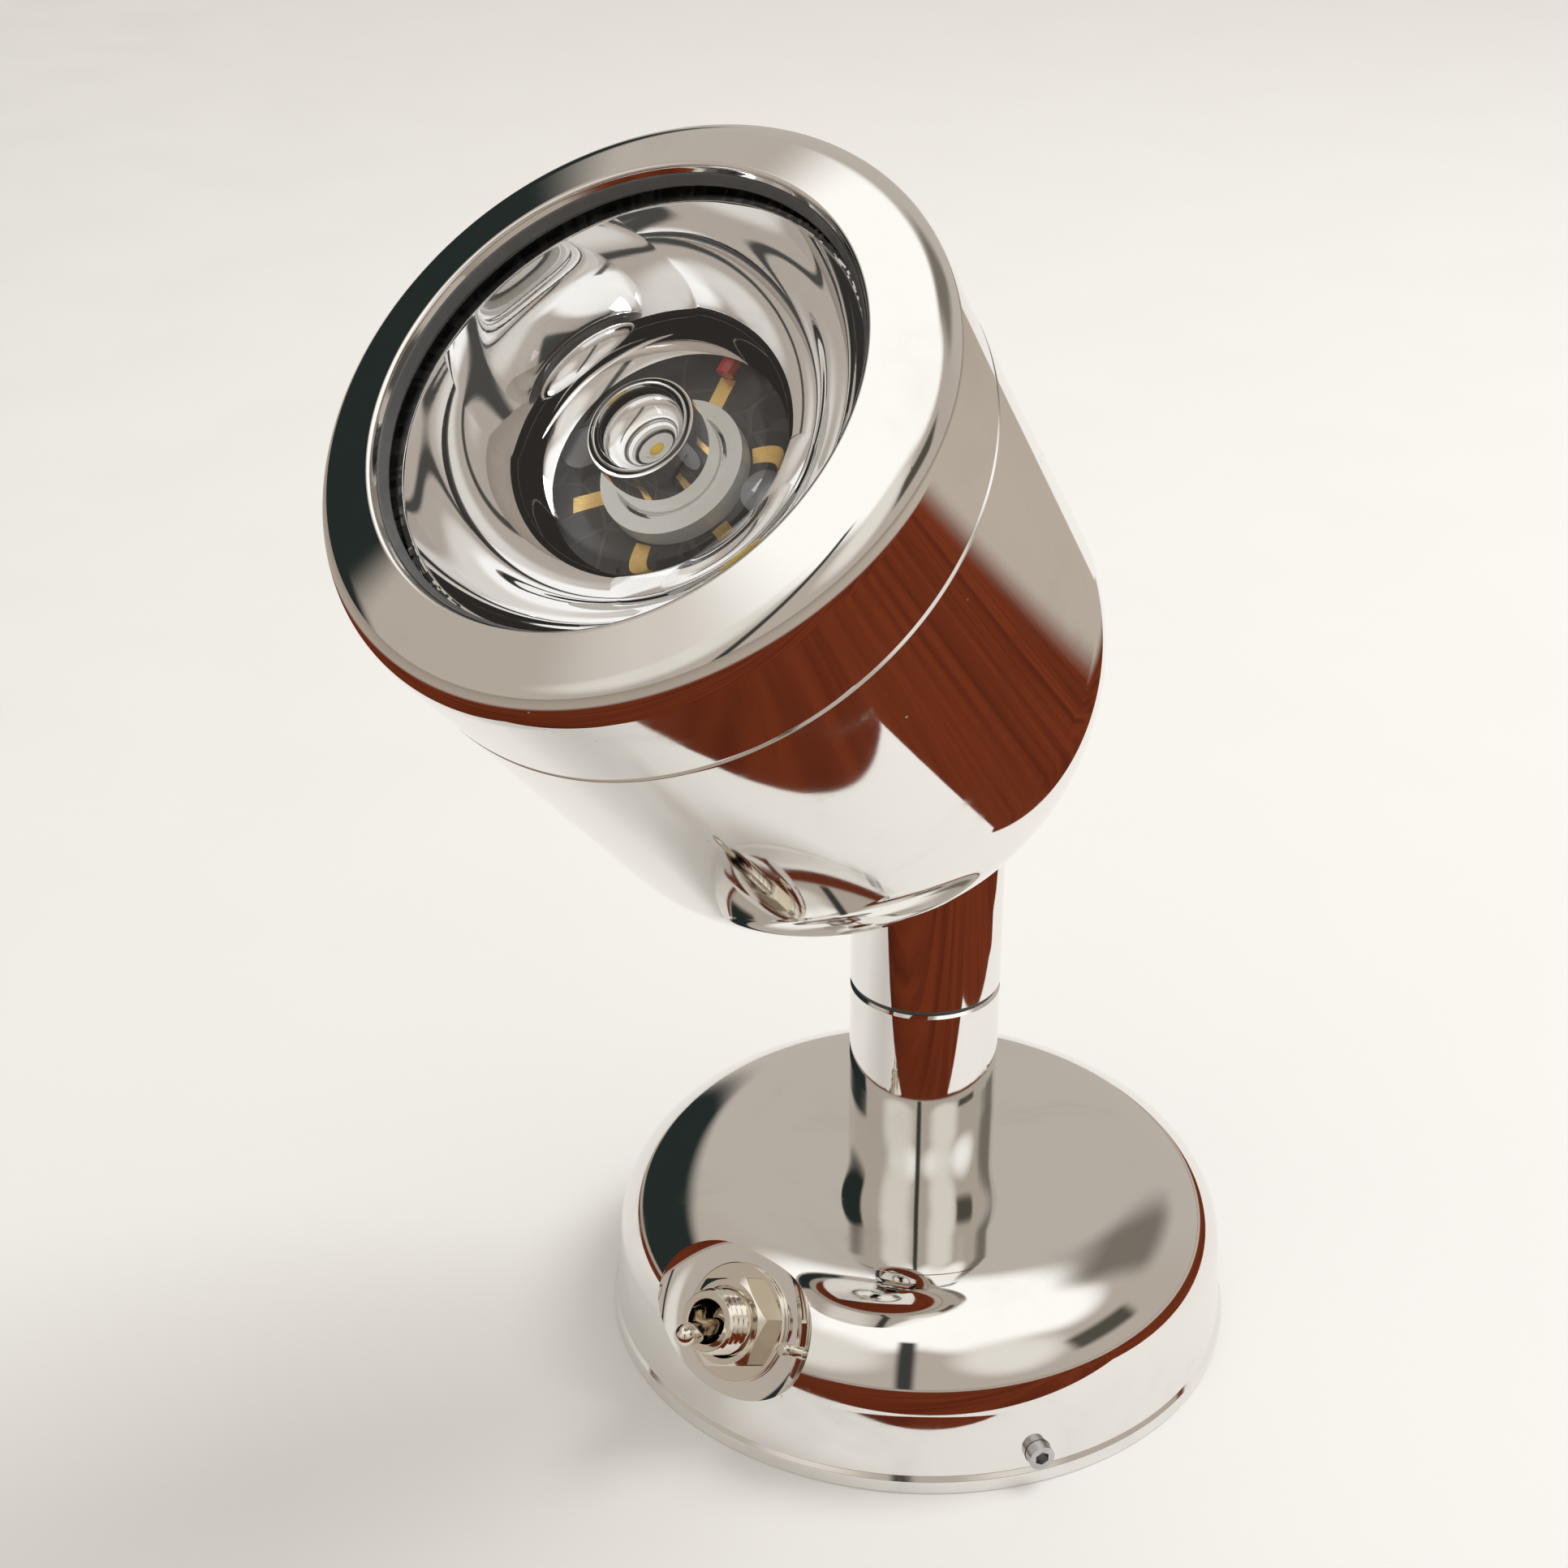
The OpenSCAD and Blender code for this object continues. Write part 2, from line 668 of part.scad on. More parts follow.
module live_wire()
    color("red") wire([
        upper_tag, [upper_tag[0], upper_tag[1] + 3 * wire_r, upper_tag[2]],
        [-stem_wire_x, -stud_r / 2, top_z - stud_drop - 2 * wire_r],
        [-stem_wire_x, 0, top_z - stud_drop], [-stem_wire_x, 0, top_z], [-stem_wire_x, 0, wire_top_z]],
        wire_r, [1, 0, 0]);

module return_wire()
    color("dimgray") wire([
        [-pole_x, wire_end_y, wire_z], [-pole_x, block_y - 4 * wire_r, wire_z],
        [stem_wire_x - wire_r, stud_r / 2, top_z - stud_drop - 2 * wire_r],
        [stem_wire_x, 0, top_z - stud_drop], [stem_wire_x, 0, top_z], [stem_wire_x, 0, wire_top_z]],
        wire_r, [1, 0, 0]);

// Swivel and upper stem

// Side view of the two ears: round about the tilt axis, a flat front and back, full width below
module ear_profile() {
    shoulder_step = stem_r - ear_r;
    circle(r = ear_r);
    for (side = [-1, 1]) polygon([
        [0, 0], [side * ear_r, 0], [side * ear_r, -ear_drop], [side * stem_r, -ear_drop - shoulder_step],
        [side * (stem_r + overrun), -ear_drop - shoulder_step], [side * (stem_r + overrun), -upper_len],
        [0, -upper_len]]);
}

module upper_stem() {
    color("silver") difference() {
        intersection() {
            translate([0, 0, arm_z]) union() {
                cylinder(r1 = stem_r - stem_chamfer, r2 = stem_r, h = stem_chamfer);
                translate([0, 0, stem_chamfer])
                    cylinder(r = stem_r, h = hinge_z - arm_z + ear_r - stem_chamfer);
            }
            translate([-stem_r, 0, hinge_z]) rotate([90, 0, 90])
                linear_extrude(2 * stem_r) ear_profile();
        }
        translate([-slot_half, -stem_r - overrun, slot_floor_z])
            cube([2 * slot_half, 2 * (stem_r + overrun), 2 * ear_r + overrun]);
        translate([0, 0, arm_z - overrun])
            cylinder(r = spindle_r + run_fit, h = spindle_grip + overrun);
        cylinder(r = wire_bore_r, h = hinge_z);
        translate([-stem_r - overrun, 0, hinge_z]) rotate([0, 90, 0])
            cylinder(r = pivot_r + run_fit, h = 2 * (stem_r + overrun));
        translate([pivot_seat_x, 0, hinge_z]) rotate([0, 90, 0])
            cylinder(r = pivot_head_r + run_fit, h = stem_r);
        translate([0, -stop_groove_r, arm_z - overrun])
            cylinder(r = stop_pin_r, h = stop_pin_grip + overrun);
    }
}

module swivel_spindle() {
    groove_z = bearing_z - spring_washer_t - ring_t;
    color("darkgray") difference() {
        translate([0, 0, spindle_end_z]) cylinder(r = spindle_r, h = spindle_top_z - spindle_end_z);
        translate([0, 0, spindle_end_z - overrun])
            cylinder(r = wire_bore_r, h = spindle_top_z - spindle_end_z + 2 * overrun);
        ring(spindle_r + overrun, spindle_r - ring_seat, ring_t, groove_z);
    }
}

module swivel_washer() {
    color("whitesmoke") difference() {
        ring(stem_r - stem_chamfer, spindle_r + run_fit, swivel_gap - run_fit, swivel_z + run_fit);
        translate([0, -stop_groove_r, swivel_z - overrun])
            cylinder(r = stop_pin_r, h = swivel_gap + 2 * overrun);
    }
}

module spring_washer()
    color("darkgray")
        ring(stem_r - stem_wall - seat_gap, spindle_r + run_fit, spring_washer_t - run_fit,
             bearing_z - spring_washer_t);

module retaining_ring()
    color("dimgray")
        ring(stem_r - stem_wall - seat_gap, spindle_r - ring_seat, ring_t,
             bearing_z - spring_washer_t - ring_t);

module stop_pin()
    color("dimgray") translate([0, -stop_groove_r, swivel_z - stop_groove_d + seat_gap])
        cylinder(r = stop_pin_r, h = arm_z + stop_pin_grip - swivel_z + stop_groove_d - seat_gap);

// Knuckle

module pivot_screw() {
    slot_w = pivot_head_r / 4;
    slot_d = pivot_head_h / 2;
    color("silver") translate([0, 0, hinge_z]) rotate([0, 90, 0]) difference() {
        union() {
            translate([0, 0, pivot_end_x]) cylinder(r = pivot_r, h = pivot_seat_x - pivot_end_x + slot_d);
            translate([0, 0, pivot_seat_x]) cylinder(r = pivot_head_r, h = pivot_head_h);
        }
        translate([-slot_w / 2, -pivot_head_r - overrun, pivot_seat_x + pivot_head_h - slot_d])
            cube([slot_w, 2 * (pivot_head_r + overrun), pivot_head_h]);
    }
}

module tilt_washers()
    color("peru") translate([0, 0, hinge_z]) rotate([0, 90, 0]) {
        ring(tilt_washer_r, pivot_r + run_fit, tilt_washer_t, slot_half - tilt_washer_t);
        ring(tilt_washer_r, pivot_r + run_fit, tilt_washer_t, -slot_half);
    }

// Outer form of the shell as a solid of revolution about the head's axis
module shell_outer()
    rotate_extrude() polygon(concat(
        [[0, pole_u]],
        arc_pts(0, dome_u, dome_r, dome_len, -90, 0, 2 * arc_steps),
        [[seam_r, seam_u - seam_chamfer], [seam_r - seam_chamfer, seam_u], [0, seam_u]]));

// Tongue, round seat and hollow threaded neck, with a groove round the pivot for the wires
module head_knuckle() {
    color("silver") head_frame() difference() {
        union() {
            rotate([0, 90, 0]) translate([0, 0, -tongue_half]) cylinder(r = tongue_r, h = tongue_t);
            translate([-tongue_half, -seat_disc_r + seat_gap, 0])
                cube([tongue_t, 2 * (seat_disc_r - seat_gap), pole_u]);
            difference() {
                translate([0, 0, seat_disc_u]) cylinder(r = seat_disc_r, h = pole_u);
                shell_outer();
            }
            translate([0, 0, seat_disc_u]) cylinder(r = neck_r, h = neck_end_u - seat_disc_u);
        }
        rotate([0, 90, 0]) translate([0, 0, -tongue_half - overrun])
            cylinder(r = pivot_r + run_fit, h = tongue_t + 2 * overrun);
        rotate([0, 90, 0])
            ring(seat_disc_u - seat_gap, boss_r, wire_groove_d + overrun, -tongue_half - overrun);
        translate([0, 0, boss_r + run_fit]) cylinder(r = neck_bore_r, h = neck_end_u);
    }
}

module knuckle_washer()
    color("silver") head_frame() ring(neck_washer_r, neck_r + run_fit, neck_washer_t, neck_seat_u);

module knuckle_nut()
    color("silver") head_frame()
        hex_nut(neck_nut_af, neck_r + run_fit, neck_nut_t, neck_seat_u + neck_washer_t);

// Bullet shell: a flat seat inside its rear, a ledge for the heat sink and a spigot in front
module head_shell() {
    color("silver") head_frame() difference() {
        union() {
            shell_outer();
            cylinder_between(spigot_r, seam_u - overrun, spigot_u);
        }
        difference() {
            rotate_extrude() polygon(concat(
                [[0, dome_u - inner_dome_len]],
                arc_pts(0, dome_u, inner_dome_r, inner_dome_len, -90, 0),
                [[inner_dome_r, ledge_u + overrun], [0, ledge_u + overrun]]));
            cylinder_between(dome_r, 0, neck_seat_u);
        }
        cylinder_between(shell_bore_r, ledge_u, front_u);
        cylinder_between(neck_r + run_fit, 0, dome_u);
    }
}

module cylinder_between(r, from, to) translate([0, 0, from]) cylinder(r = r, h = to - from);

// Bezel: outer rounding, sloping face, small rounded lip, narrowing throat and stepped bore
module bezel() {
    back_u = seam_u + run_fit;
    step_u = spigot_u + seal_t;
    color("silver") head_frame() rotate_extrude() polygon(concat(
        [[bezel_bore_r, back_u], [seam_r - seam_chamfer, back_u], [seam_r, back_u + seam_chamfer]],
        arc_pts(round_c_r, round_c_u, bezel_round, bezel_round, 0, face_normal),
        arc_pts(lip_r + lip_round, front_u - lip_round, lip_round, lip_round, face_normal, 180, lip_steps),
        [[window_r, gasket_u], [pocket_r, gasket_u], [pocket_r, step_u], [bezel_bore_r, step_u]]));
}

module bezel_seal()
    color("dimgray") head_frame() ring(spigot_r, pocket_r, seal_t, spigot_u);

// Collimating lens: flat face, flange, curved reflecting wall and a well for the emitter
module lens() {
    bulge_r = (well_r * well_r + well_bulge * well_bulge) / (2 * well_bulge);
    well_top_u = lens_u - well_top_d;
    wall_len = lens_h - flange_t;
    wall_steps = arc_steps;
    color("azure", 0.5) head_frame() difference() {
        rotate_extrude() polygon(concat(
            [[0, lens_rear_u]],
            [for (i = [0 : wall_steps]) let (s = i / wall_steps)
                [lens_rear_r + (lens_wall_r - lens_rear_r) * sqrt(s * (1 + wall_bow_share * (1 - s))),
                 lens_rear_u + wall_len * s]],
            [[flange_r, lens_u - flange_t], [flange_r, lens_u], [0, lens_u]]));
        rotate_extrude() polygon(concat(
            [[0, lens_rear_u - overrun], [well_r, lens_rear_u - overrun]],
            [for (i = [0 : arc_steps]) let (r = well_r * (1 - i / arc_steps))
                [r, well_top_u - well_bulge + bulge_r - sqrt(bulge_r * bulge_r - r * r)]]));
    }
}

module lens_gasket()
    color("whitesmoke", 0.6) head_frame() ring(flange_r, window_r + seat_gap, gasket_t, lens_u);

module lens_spacer()
    color("dimgray") head_frame()
        ring(spacer_r, spacer_r - spacer_wall, lens_u - flange_t - sink_u, sink_u);

// Light source

module heat_sink() {
    color("lightgray") head_frame() difference() {
        cylinder_between(shell_bore_r - run_fit, ledge_u, sink_u);
        for (side = [-1, 1]) {
            translate([side * board_screw_at, 0, 0])
                cylinder_between(board_screw_r, ledge_u - overrun, sink_u + overrun);
            translate([0, side * sink_hole_at, 0])
                cylinder_between(sink_hole_r, ledge_u - overrun, sink_u + overrun);
        }
    }
}

module led_board() {
    color("dimgray") head_frame() difference() {
        cylinder_between(board_r, sink_u, board_u);
        for (side = [-1, 1]) translate([side * board_screw_at, 0, 0])
            cylinder_between(board_screw_r + run_fit, sink_u - overrun, board_u + overrun);
    }
}

module board_pads()
    color("gold") head_frame() for (i = [0 : pad_count - 1])
        rotate([0, 0, 360 * (i + 0.5) / pad_count]) translate([pad_in_r, -pad_w / 2, board_u])
            cube([pad_len, pad_w, pad_t]);

module board_screws()
    color("silver") head_frame() for (side = [-1, 1]) translate([side * board_screw_at, 0, 0]) {
        cylinder_between(board_screw_r - run_fit, ledge_u, board_u + run_fit);
        cylinder_between(board_screw_head_r, board_u, board_u + board_screw_head_h);
    }

module emitter()
    color("white") head_frame() translate([-emitter_w / 2, -emitter_w / 2, board_u])
        cube([emitter_w, emitter_w, emitter_h]);

module emitter_dome()
    color("gold") head_frame() translate([0, 0, board_u + emitter_h])
        rotate_extrude() polygon(concat([[0, 0]], arc_pts(0, 0, emitter_dome_r, emitter_dome_r, 0, 90)));

module locator_ring()
    color("white") head_frame() ring(locator_r, locator_in_r, lens_rear_u - board_u, board_u);

// Driver behind the heat sink

driver_front_u = driver_u + driver_t;

module at_driver_spacers()
    for (turn = [spacer_turn, spacer_turn + 180]) rotate([0, 0, turn]) translate([spacer_at, 0, 0])
        children();

module driver_board() {
    color("darkgreen") head_frame() difference() {
        cylinder_between(driver_r, driver_u, driver_front_u);
        at_driver_spacers()
            cylinder_between(driver_screw_r + run_fit, driver_u - overrun, driver_front_u + overrun);
    }
}

coil_r = 4;
coil_h = 5;
cap_r = 3;
cap_h = 7;
chip_w = 5;
chip_h = 1.6;
part_x = 7.5;

module driver_parts()
    color("dimgray") head_frame() translate([0, 0, driver_front_u]) {
        translate([part_x, 0, 0]) cylinder(r = coil_r, h = coil_h);
        translate([-part_x, 0, 0]) cylinder(r = cap_r, h = cap_h);
        translate([-chip_w / 2, -chip_w / 2, 0]) cube([chip_w, chip_w, chip_h]);
    }

module driver_spacers()
    color("wheat") head_frame() at_driver_spacers()
        cylinder_between(driver_spacer_r, driver_front_u, ledge_u);

module driver_screws()
    color("silver") head_frame() at_driver_spacers() {
        cylinder_between(driver_screw_r, driver_u - run_fit, driver_front_u);
        cylinder_between(driver_head_r, driver_u - driver_head_h, driver_u);
    }

// Wires in the head, in the head's own frame

head_wire_x = 0.9;
head_wire_start_u = boss_r + neck_bore_r;
input_x = 9;
input_y = 6;
led_y = pad_in_r + pad_len;
led_wire_u = board_u + pad_t + wire_r;

module head_wire(side)
    head_frame() wire([
        [side * head_wire_x, 0, head_wire_start_u], [side * head_wire_x, 0, neck_end_u],
        [side * head_wire_x, 0, neck_end_u + 4 * wire_r],
        [side * input_x, -input_y, driver_u - 8 * wire_r], [side * input_x, -input_y, driver_u]],
        wire_r, [0, 1, 0]);

module led_wire(side)
    head_frame() wire([
        [0, side * sink_hole_at, ledge_u], [0, side * sink_hole_at, sink_u],
        [0, side * sink_hole_at, led_wire_u], [0, side * (led_y + 2 * wire_r), led_wire_u],
        [0, side * led_y, led_wire_u]],
        wire_r, [1, 0, 0]);

module head_wire_red() color("red") head_wire(1);
module head_wire_black() color("dimgray") head_wire(-1);
module led_wire_red() color("red") led_wire(1);
module led_wire_black() color("dimgray") led_wire(-1);

base_cover();
mounting_plate();
set_screw();
lower_stem();
foot_stud();
stem_washer();
stem_nut();
switch_case();
switch_bushing();
switch_washer();
switch_lock_washer();
switch_nut();
switch_terminals();
switch_lever();
terminal_block();
terminal_clamps();
feed_wire();
live_wire();
return_wire();
upper_stem();
swivel_spindle();
swivel_washer();
spring_washer();
retaining_ring();
stop_pin();
pivot_screw();
tilt_washers();
head_knuckle();
knuckle_washer();
knuckle_nut();
head_shell();
bezel();
bezel_seal();
lens();
lens_gasket();
lens_spacer();
heat_sink();
led_board();
board_pads();
board_screws();
emitter();
emitter_dome();
locator_ring();
driver_board();
driver_parts();
driver_spacers();
driver_screws();
head_wire_red();
head_wire_black();
led_wire_red();
led_wire_black();
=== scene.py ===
"""A polished wall reading light: finishes, fine pieces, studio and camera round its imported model."""

import json
import math

import bmesh
import bpy
from mathutils import Matrix, Vector


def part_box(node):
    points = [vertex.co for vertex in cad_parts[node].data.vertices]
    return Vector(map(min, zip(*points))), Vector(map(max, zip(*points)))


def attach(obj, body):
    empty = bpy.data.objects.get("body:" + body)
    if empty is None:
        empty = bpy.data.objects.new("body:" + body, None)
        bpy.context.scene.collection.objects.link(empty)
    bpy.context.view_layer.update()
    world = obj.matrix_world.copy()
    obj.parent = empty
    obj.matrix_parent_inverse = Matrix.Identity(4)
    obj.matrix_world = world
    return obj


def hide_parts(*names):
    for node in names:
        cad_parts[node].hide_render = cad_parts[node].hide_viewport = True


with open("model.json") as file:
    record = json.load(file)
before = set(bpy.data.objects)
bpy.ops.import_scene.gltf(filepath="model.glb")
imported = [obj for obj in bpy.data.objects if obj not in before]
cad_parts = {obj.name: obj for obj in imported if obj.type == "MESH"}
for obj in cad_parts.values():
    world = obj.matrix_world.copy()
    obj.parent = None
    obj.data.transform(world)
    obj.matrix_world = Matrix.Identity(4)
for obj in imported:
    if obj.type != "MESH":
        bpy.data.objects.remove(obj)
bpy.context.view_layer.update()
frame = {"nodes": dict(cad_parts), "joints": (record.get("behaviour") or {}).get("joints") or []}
NODES = frame["nodes"]

MM = 0.001
TURN = 2 * math.pi
# Clearance between a piece and what it fits into
FITTED = 0.05 * MM

# Camera, from the photograph's perspective
CAMERA_AT = Vector((0.1050, -0.1736, 0.1545))
CAMERA_AZIMUTH = math.radians(34.9)
CAMERA_ELEVATION = math.radians(25.99)
LENS_MM = 57.376
SENSOR_MM = 36


def aim_camera():
    """The camera stands where the photograph was taken from, and looks the same way."""
    data = bpy.data.cameras.new("camera")
    data.lens = LENS_MM
    data.sensor_width = SENSOR_MM
    camera = bpy.data.objects.new("camera", data)
    bpy.context.scene.collection.objects.link(camera)
    level = math.cos(CAMERA_ELEVATION)
    back = Vector((
        math.sin(CAMERA_AZIMUTH) * level,
        -math.cos(CAMERA_AZIMUTH) * level,
        math.sin(CAMERA_ELEVATION),
    ))
    camera.location = CAMERA_AT
    camera.rotation_mode = "QUATERNION"
    camera.rotation_quaternion = (-back).to_track_quat("-Z", "Y")
    bpy.context.scene.camera = camera


class Finish:
    """A Principled material, with short ways to build its colour, roughness and bump."""

    def __init__(self, name, colour, roughness, metallic=0.0):
        self.material = bpy.data.materials.new(name)
        self.material.use_nodes = True
        self.tree = self.material.node_tree
        self.shader = self.tree.nodes["Principled BSDF"]
        self.colour = (*colour, 1.0)
        self.set("Base Color", self.colour)
        self.set("Roughness", roughness)
        self.set("Metallic", metallic)
        self.place = self.add("ShaderNodeTexCoord").outputs["Object"]

    def add(self, kind, **settings):
        node = self.tree.nodes.new(kind)
        for key, value in settings.items():
            setattr(node, key, value)
        return node

    def link(self, output, socket):
        self.tree.links.new(output, socket)

    def set(self, socket, value):
        self.shader.inputs[socket].default_value = value

    def feed(self, socket, output):
        self.link(output, self.shader.inputs[socket])

    def stretched(self, x, y, z):
        node = self.add("ShaderNodeMapping")
        node.inputs["Scale"].default_value = (x, y, z)
        self.link(self.place, node.inputs["Vector"])
        return node.outputs["Vector"]

    def let_light_through(self):
        """Lamps and pale surfaces light what is behind a clear piece, as they do through real plastic."""
        path = self.add("ShaderNodeLightPath")
        soft = self.calc("MAXIMUM", path.outputs["Is Shadow Ray"], path.outputs["Is Diffuse Ray"])
        clear = self.add("ShaderNodeBsdfTransparent")
        mix = self.add("ShaderNodeMixShader")
        output = next(n for n in self.tree.nodes if n.type == "OUTPUT_MATERIAL")
        self.link(soft, mix.inputs[0])
        self.link(output.inputs["Surface"].links[0].from_socket, mix.inputs[1])
        self.link(clear.outputs[0], mix.inputs[2])
        self.link(mix.outputs[0], output.inputs["Surface"])

    def off_axis(self, place):
        """Distance from the z axis of a place, in metres."""
        spot = self.add("ShaderNodeTexCoord").outputs["Object"]
        offset = self.add("ShaderNodeVectorMath", operation="SUBTRACT")
        self.link(spot, offset.inputs[0])
        offset.inputs[1].default_value = place.translation
        across = self.add("ShaderNodeVectorMath", operation="CROSS_PRODUCT")
        self.link(offset.outputs["Vector"], across.inputs[0])
        across.inputs[1].default_value = place.to_3x3() @ Vector((0, 0, 1))
        length = self.add("ShaderNodeVectorMath", operation="LENGTH")
        self.link(across.outputs["Vector"], length.inputs[0])
        return length.outputs["Value"]

    def noise(self, scale, detail=3.0, roughness=0.5, place=None, distortion=0.0):
        node = self.add("ShaderNodeTexNoise")
        self.link(place or self.place, node.inputs["Vector"])
        node.inputs["Scale"].default_value = scale
        node.inputs["Detail"].default_value = detail
        node.inputs["Roughness"].default_value = roughness
        node.inputs["Distortion"].default_value = distortion
        return node.outputs["Fac"]

    def cells(self, scale, feature="F1"):
        node = self.add("ShaderNodeTexVoronoi", feature=feature)
        self.link(self.place, node.inputs["Vector"])
        node.inputs["Scale"].default_value = scale
        return node.outputs["Distance"]

    def between(self, value, low, high, out_low=0.0, out_high=1.0):
        """value eased from out_low at low to out_high at high."""
        node = self.add("ShaderNodeMapRange", interpolation_type="SMOOTHSTEP")
        self.link(value, node.inputs["Value"])
        node.inputs["From Min"].default_value = low
        node.inputs["From Max"].default_value = high
        node.inputs["To Min"].default_value = out_low
        node.inputs["To Max"].default_value = out_high
        return node.outputs["Result"]

    def calc(self, operation, *values):
        node = self.add("ShaderNodeMath", operation=operation)
        for socket, value in zip(node.inputs, values):
            if isinstance(value, (int, float)):
                socket.default_value = value
            else:
                self.link(value, socket)
        return node.outputs["Value"]

    def tint(self, amount, first, second):
        node = self.add("ShaderNodeMix", data_type="RGBA")
        self.link(amount, node.inputs["Factor"])
        for key, value in (("A", first), ("B", second)):
            socket = next(s for s in node.inputs if s.name == key and s.type == "RGBA")
            if isinstance(value, tuple):
                socket.default_value = (*value[:3], 1.0)
            else:
                self.link(value, socket)
        return next(s for s in node.outputs if s.type == "RGBA")

    def bump(self, height, depth, strength=1.0, under=None):
        """A relief of that height, where depth is in metres. under is the bump below it."""
        node = self.add("ShaderNodeBump")
        node.inputs["Strength"].default_value = strength
        node.inputs["Distance"].default_value = depth
        self.link(height, node.inputs["Height"])
        if under is not None:
            self.link(under, node.inputs["Normal"])
        self.feed("Normal", node.outputs["Normal"])
        return node.outputs["Normal"]


def polished(name, colour, gloss, smear, dust=1.0):
    """Plated metal: a mirror with faint polishing lines, fingermarks and a few specks of dust."""
    finish = Finish(name, colour, gloss, metallic=1.0)
    marks = finish.between(finish.noise(95, 4, 0.6, distortion=0.6), 0.52, 0.78)
    pores = finish.between(finish.noise(2600, 2), 0.45, 0.75)
    lines = finish.noise(1.0, 3, 0.7, place=finish.stretched(160, 160, 5200))
    specks = finish.between(finish.cells(520), 0.035, 0.075, 1.0, 0.0)
    patches = finish.between(finish.noise(130, 2), 0.58, 0.66)
    dusty = finish.calc("MULTIPLY", specks, finish.calc("MULTIPLY", patches, dust))
    greasy = finish.calc("MULTIPLY", marks, finish.calc("MULTIPLY_ADD", pores, 0.5, 0.5))
    rough = finish.calc("ADD", finish.calc("MULTIPLY", greasy, smear), gloss)
    rough = finish.calc("ADD", rough, finish.calc("MULTIPLY", dusty, 0.3))
    finish.feed("Roughness", rough)
    dull = tuple(c * 0.93 for c in colour)
    shade = finish.tint(marks, colour, dull)
    finish.feed("Base Color", finish.tint(dusty, shade, (0.62, 0.60, 0.57)))
    peel = finish.bump(finish.noise(240, 1, 0.4), 0.0000035, 0.5)
    drawn = finish.bump(lines, 0.0000004, 0.6, under=peel)
    finish.bump(dusty, 0.00002, 0.5, under=drawn)
    return finish.material


def turned(name, colour, gloss, worn, grain=1400):
    """Bare metal cut on a lathe or punched: fine tool lines and small knocks."""
    finish = Finish(name, colour, gloss, metallic=1.0)
    lines = finish.noise(1.0, 4, 0.65, place=finish.stretched(grain, grain, grain * 9))
    knocks = finish.between(finish.cells(grain * 0.5), 0.05, 0.2, 1.0, 0.0)
    tarnish = finish.between(finish.noise(210, 5, 0.6), 0.35, 0.75)
    finish.feed("Roughness", finish.between(lines, 0.3, 0.7, gloss, gloss + 0.16))
    finish.feed("Base Color", finish.tint(tarnish, colour, worn))
    first = finish.bump(lines, 0.000004, 0.5)
    finish.bump(knocks, 0.00001, 0.3, under=first)
    return finish.material


def moulded(name, colour, gloss, shade, texture=1800):
    """Moulded plastic or rubber: a fine spark-eroded skin with dull and rubbed places."""
    finish = Finish(name, colour, gloss)
    skin = finish.noise(texture, 3, 0.6)
    rubbed = finish.between(finish.noise(160, 4, 0.6), 0.4, 0.7)
    finish.feed("Roughness", finish.between(rubbed, 0.0, 1.0, gloss, max(gloss - 0.14, 0.05)))
    finish.feed("Base Color", finish.tint(rubbed, colour, shade))
    finish.bump(skin, 0.000012, 0.6)
    return finish.material


def clear_moulding(name):
    """The lens: clear acrylic with the faint flow lines and dust of a real moulding."""
    finish = Finish(name, (1.0, 1.0, 1.0), 0.0)
    finish.set("Transmission Weight", 1.0)
    finish.set("IOR", 1.49)
    specks = finish.between(finish.cells(650), 0.02, 0.05, 1.0, 0.0)
    patches = finish.between(finish.noise(120, 2), 0.6, 0.68)
    dusty = finish.calc("MULTIPLY", specks, patches)
    finish.feed("Roughness", finish.calc("MULTIPLY", dusty, 0.35))
    flow = finish.bump(finish.noise(140, 1, 0.3), 0.000004, 0.4)
    finish.bump(dusty, 0.000012, 0.4, under=flow)
    finish.let_light_through()
    return finish.material


def phosphor(name):
    """The light source's yellow silicone dome over its phosphor, switched off."""
    finish = Finish(name, PHOSPHOR, 0.24)
    finish.set("Subsurface Weight", 0.35)
    finish.set("Subsurface Scale", 0.0008)
    finish.set("Coat Weight", 0.6)
    finish.set("Coat Roughness", 0.05)
    grains = finish.noise(5200, 4, 0.7)
    finish.feed("Base Color", finish.tint(grains, PHOSPHOR, PHOSPHOR_DEEP))
    finish.bump(grains, 0.00001, 0.4)
    return finish.material


def board(name, colour, line, centre=None, centre_r=0.0):
    """A printed board under solder resist: buried tracks show as fine raised lines."""
    finish = Finish(name, colour, 0.32)
    tracks = finish.between(finish.cells(330, "DISTANCE_TO_EDGE"), 0.03, 0.06, 1.0, 0.0)
    weave = finish.noise(1.0, 2, place=finish.stretched(2400, 2400, 700))
    paint = finish.tint(tracks, colour, line)
    if centre:
        inside = finish.between(finish.off_axis(centre), centre_r, centre_r * 1.02, 1.0, 0.0)
        paint = finish.tint(inside, paint, WHITE_RESIST)
    finish.feed("Base Color", paint)
    finish.feed("Roughness", finish.between(weave, 0.3, 0.7, 0.28, 0.4))
    first = finish.bump(tracks, 0.00003, 0.6)
    finish.bump(weave, 0.000006, 0.5, under=first)
    return finish.material


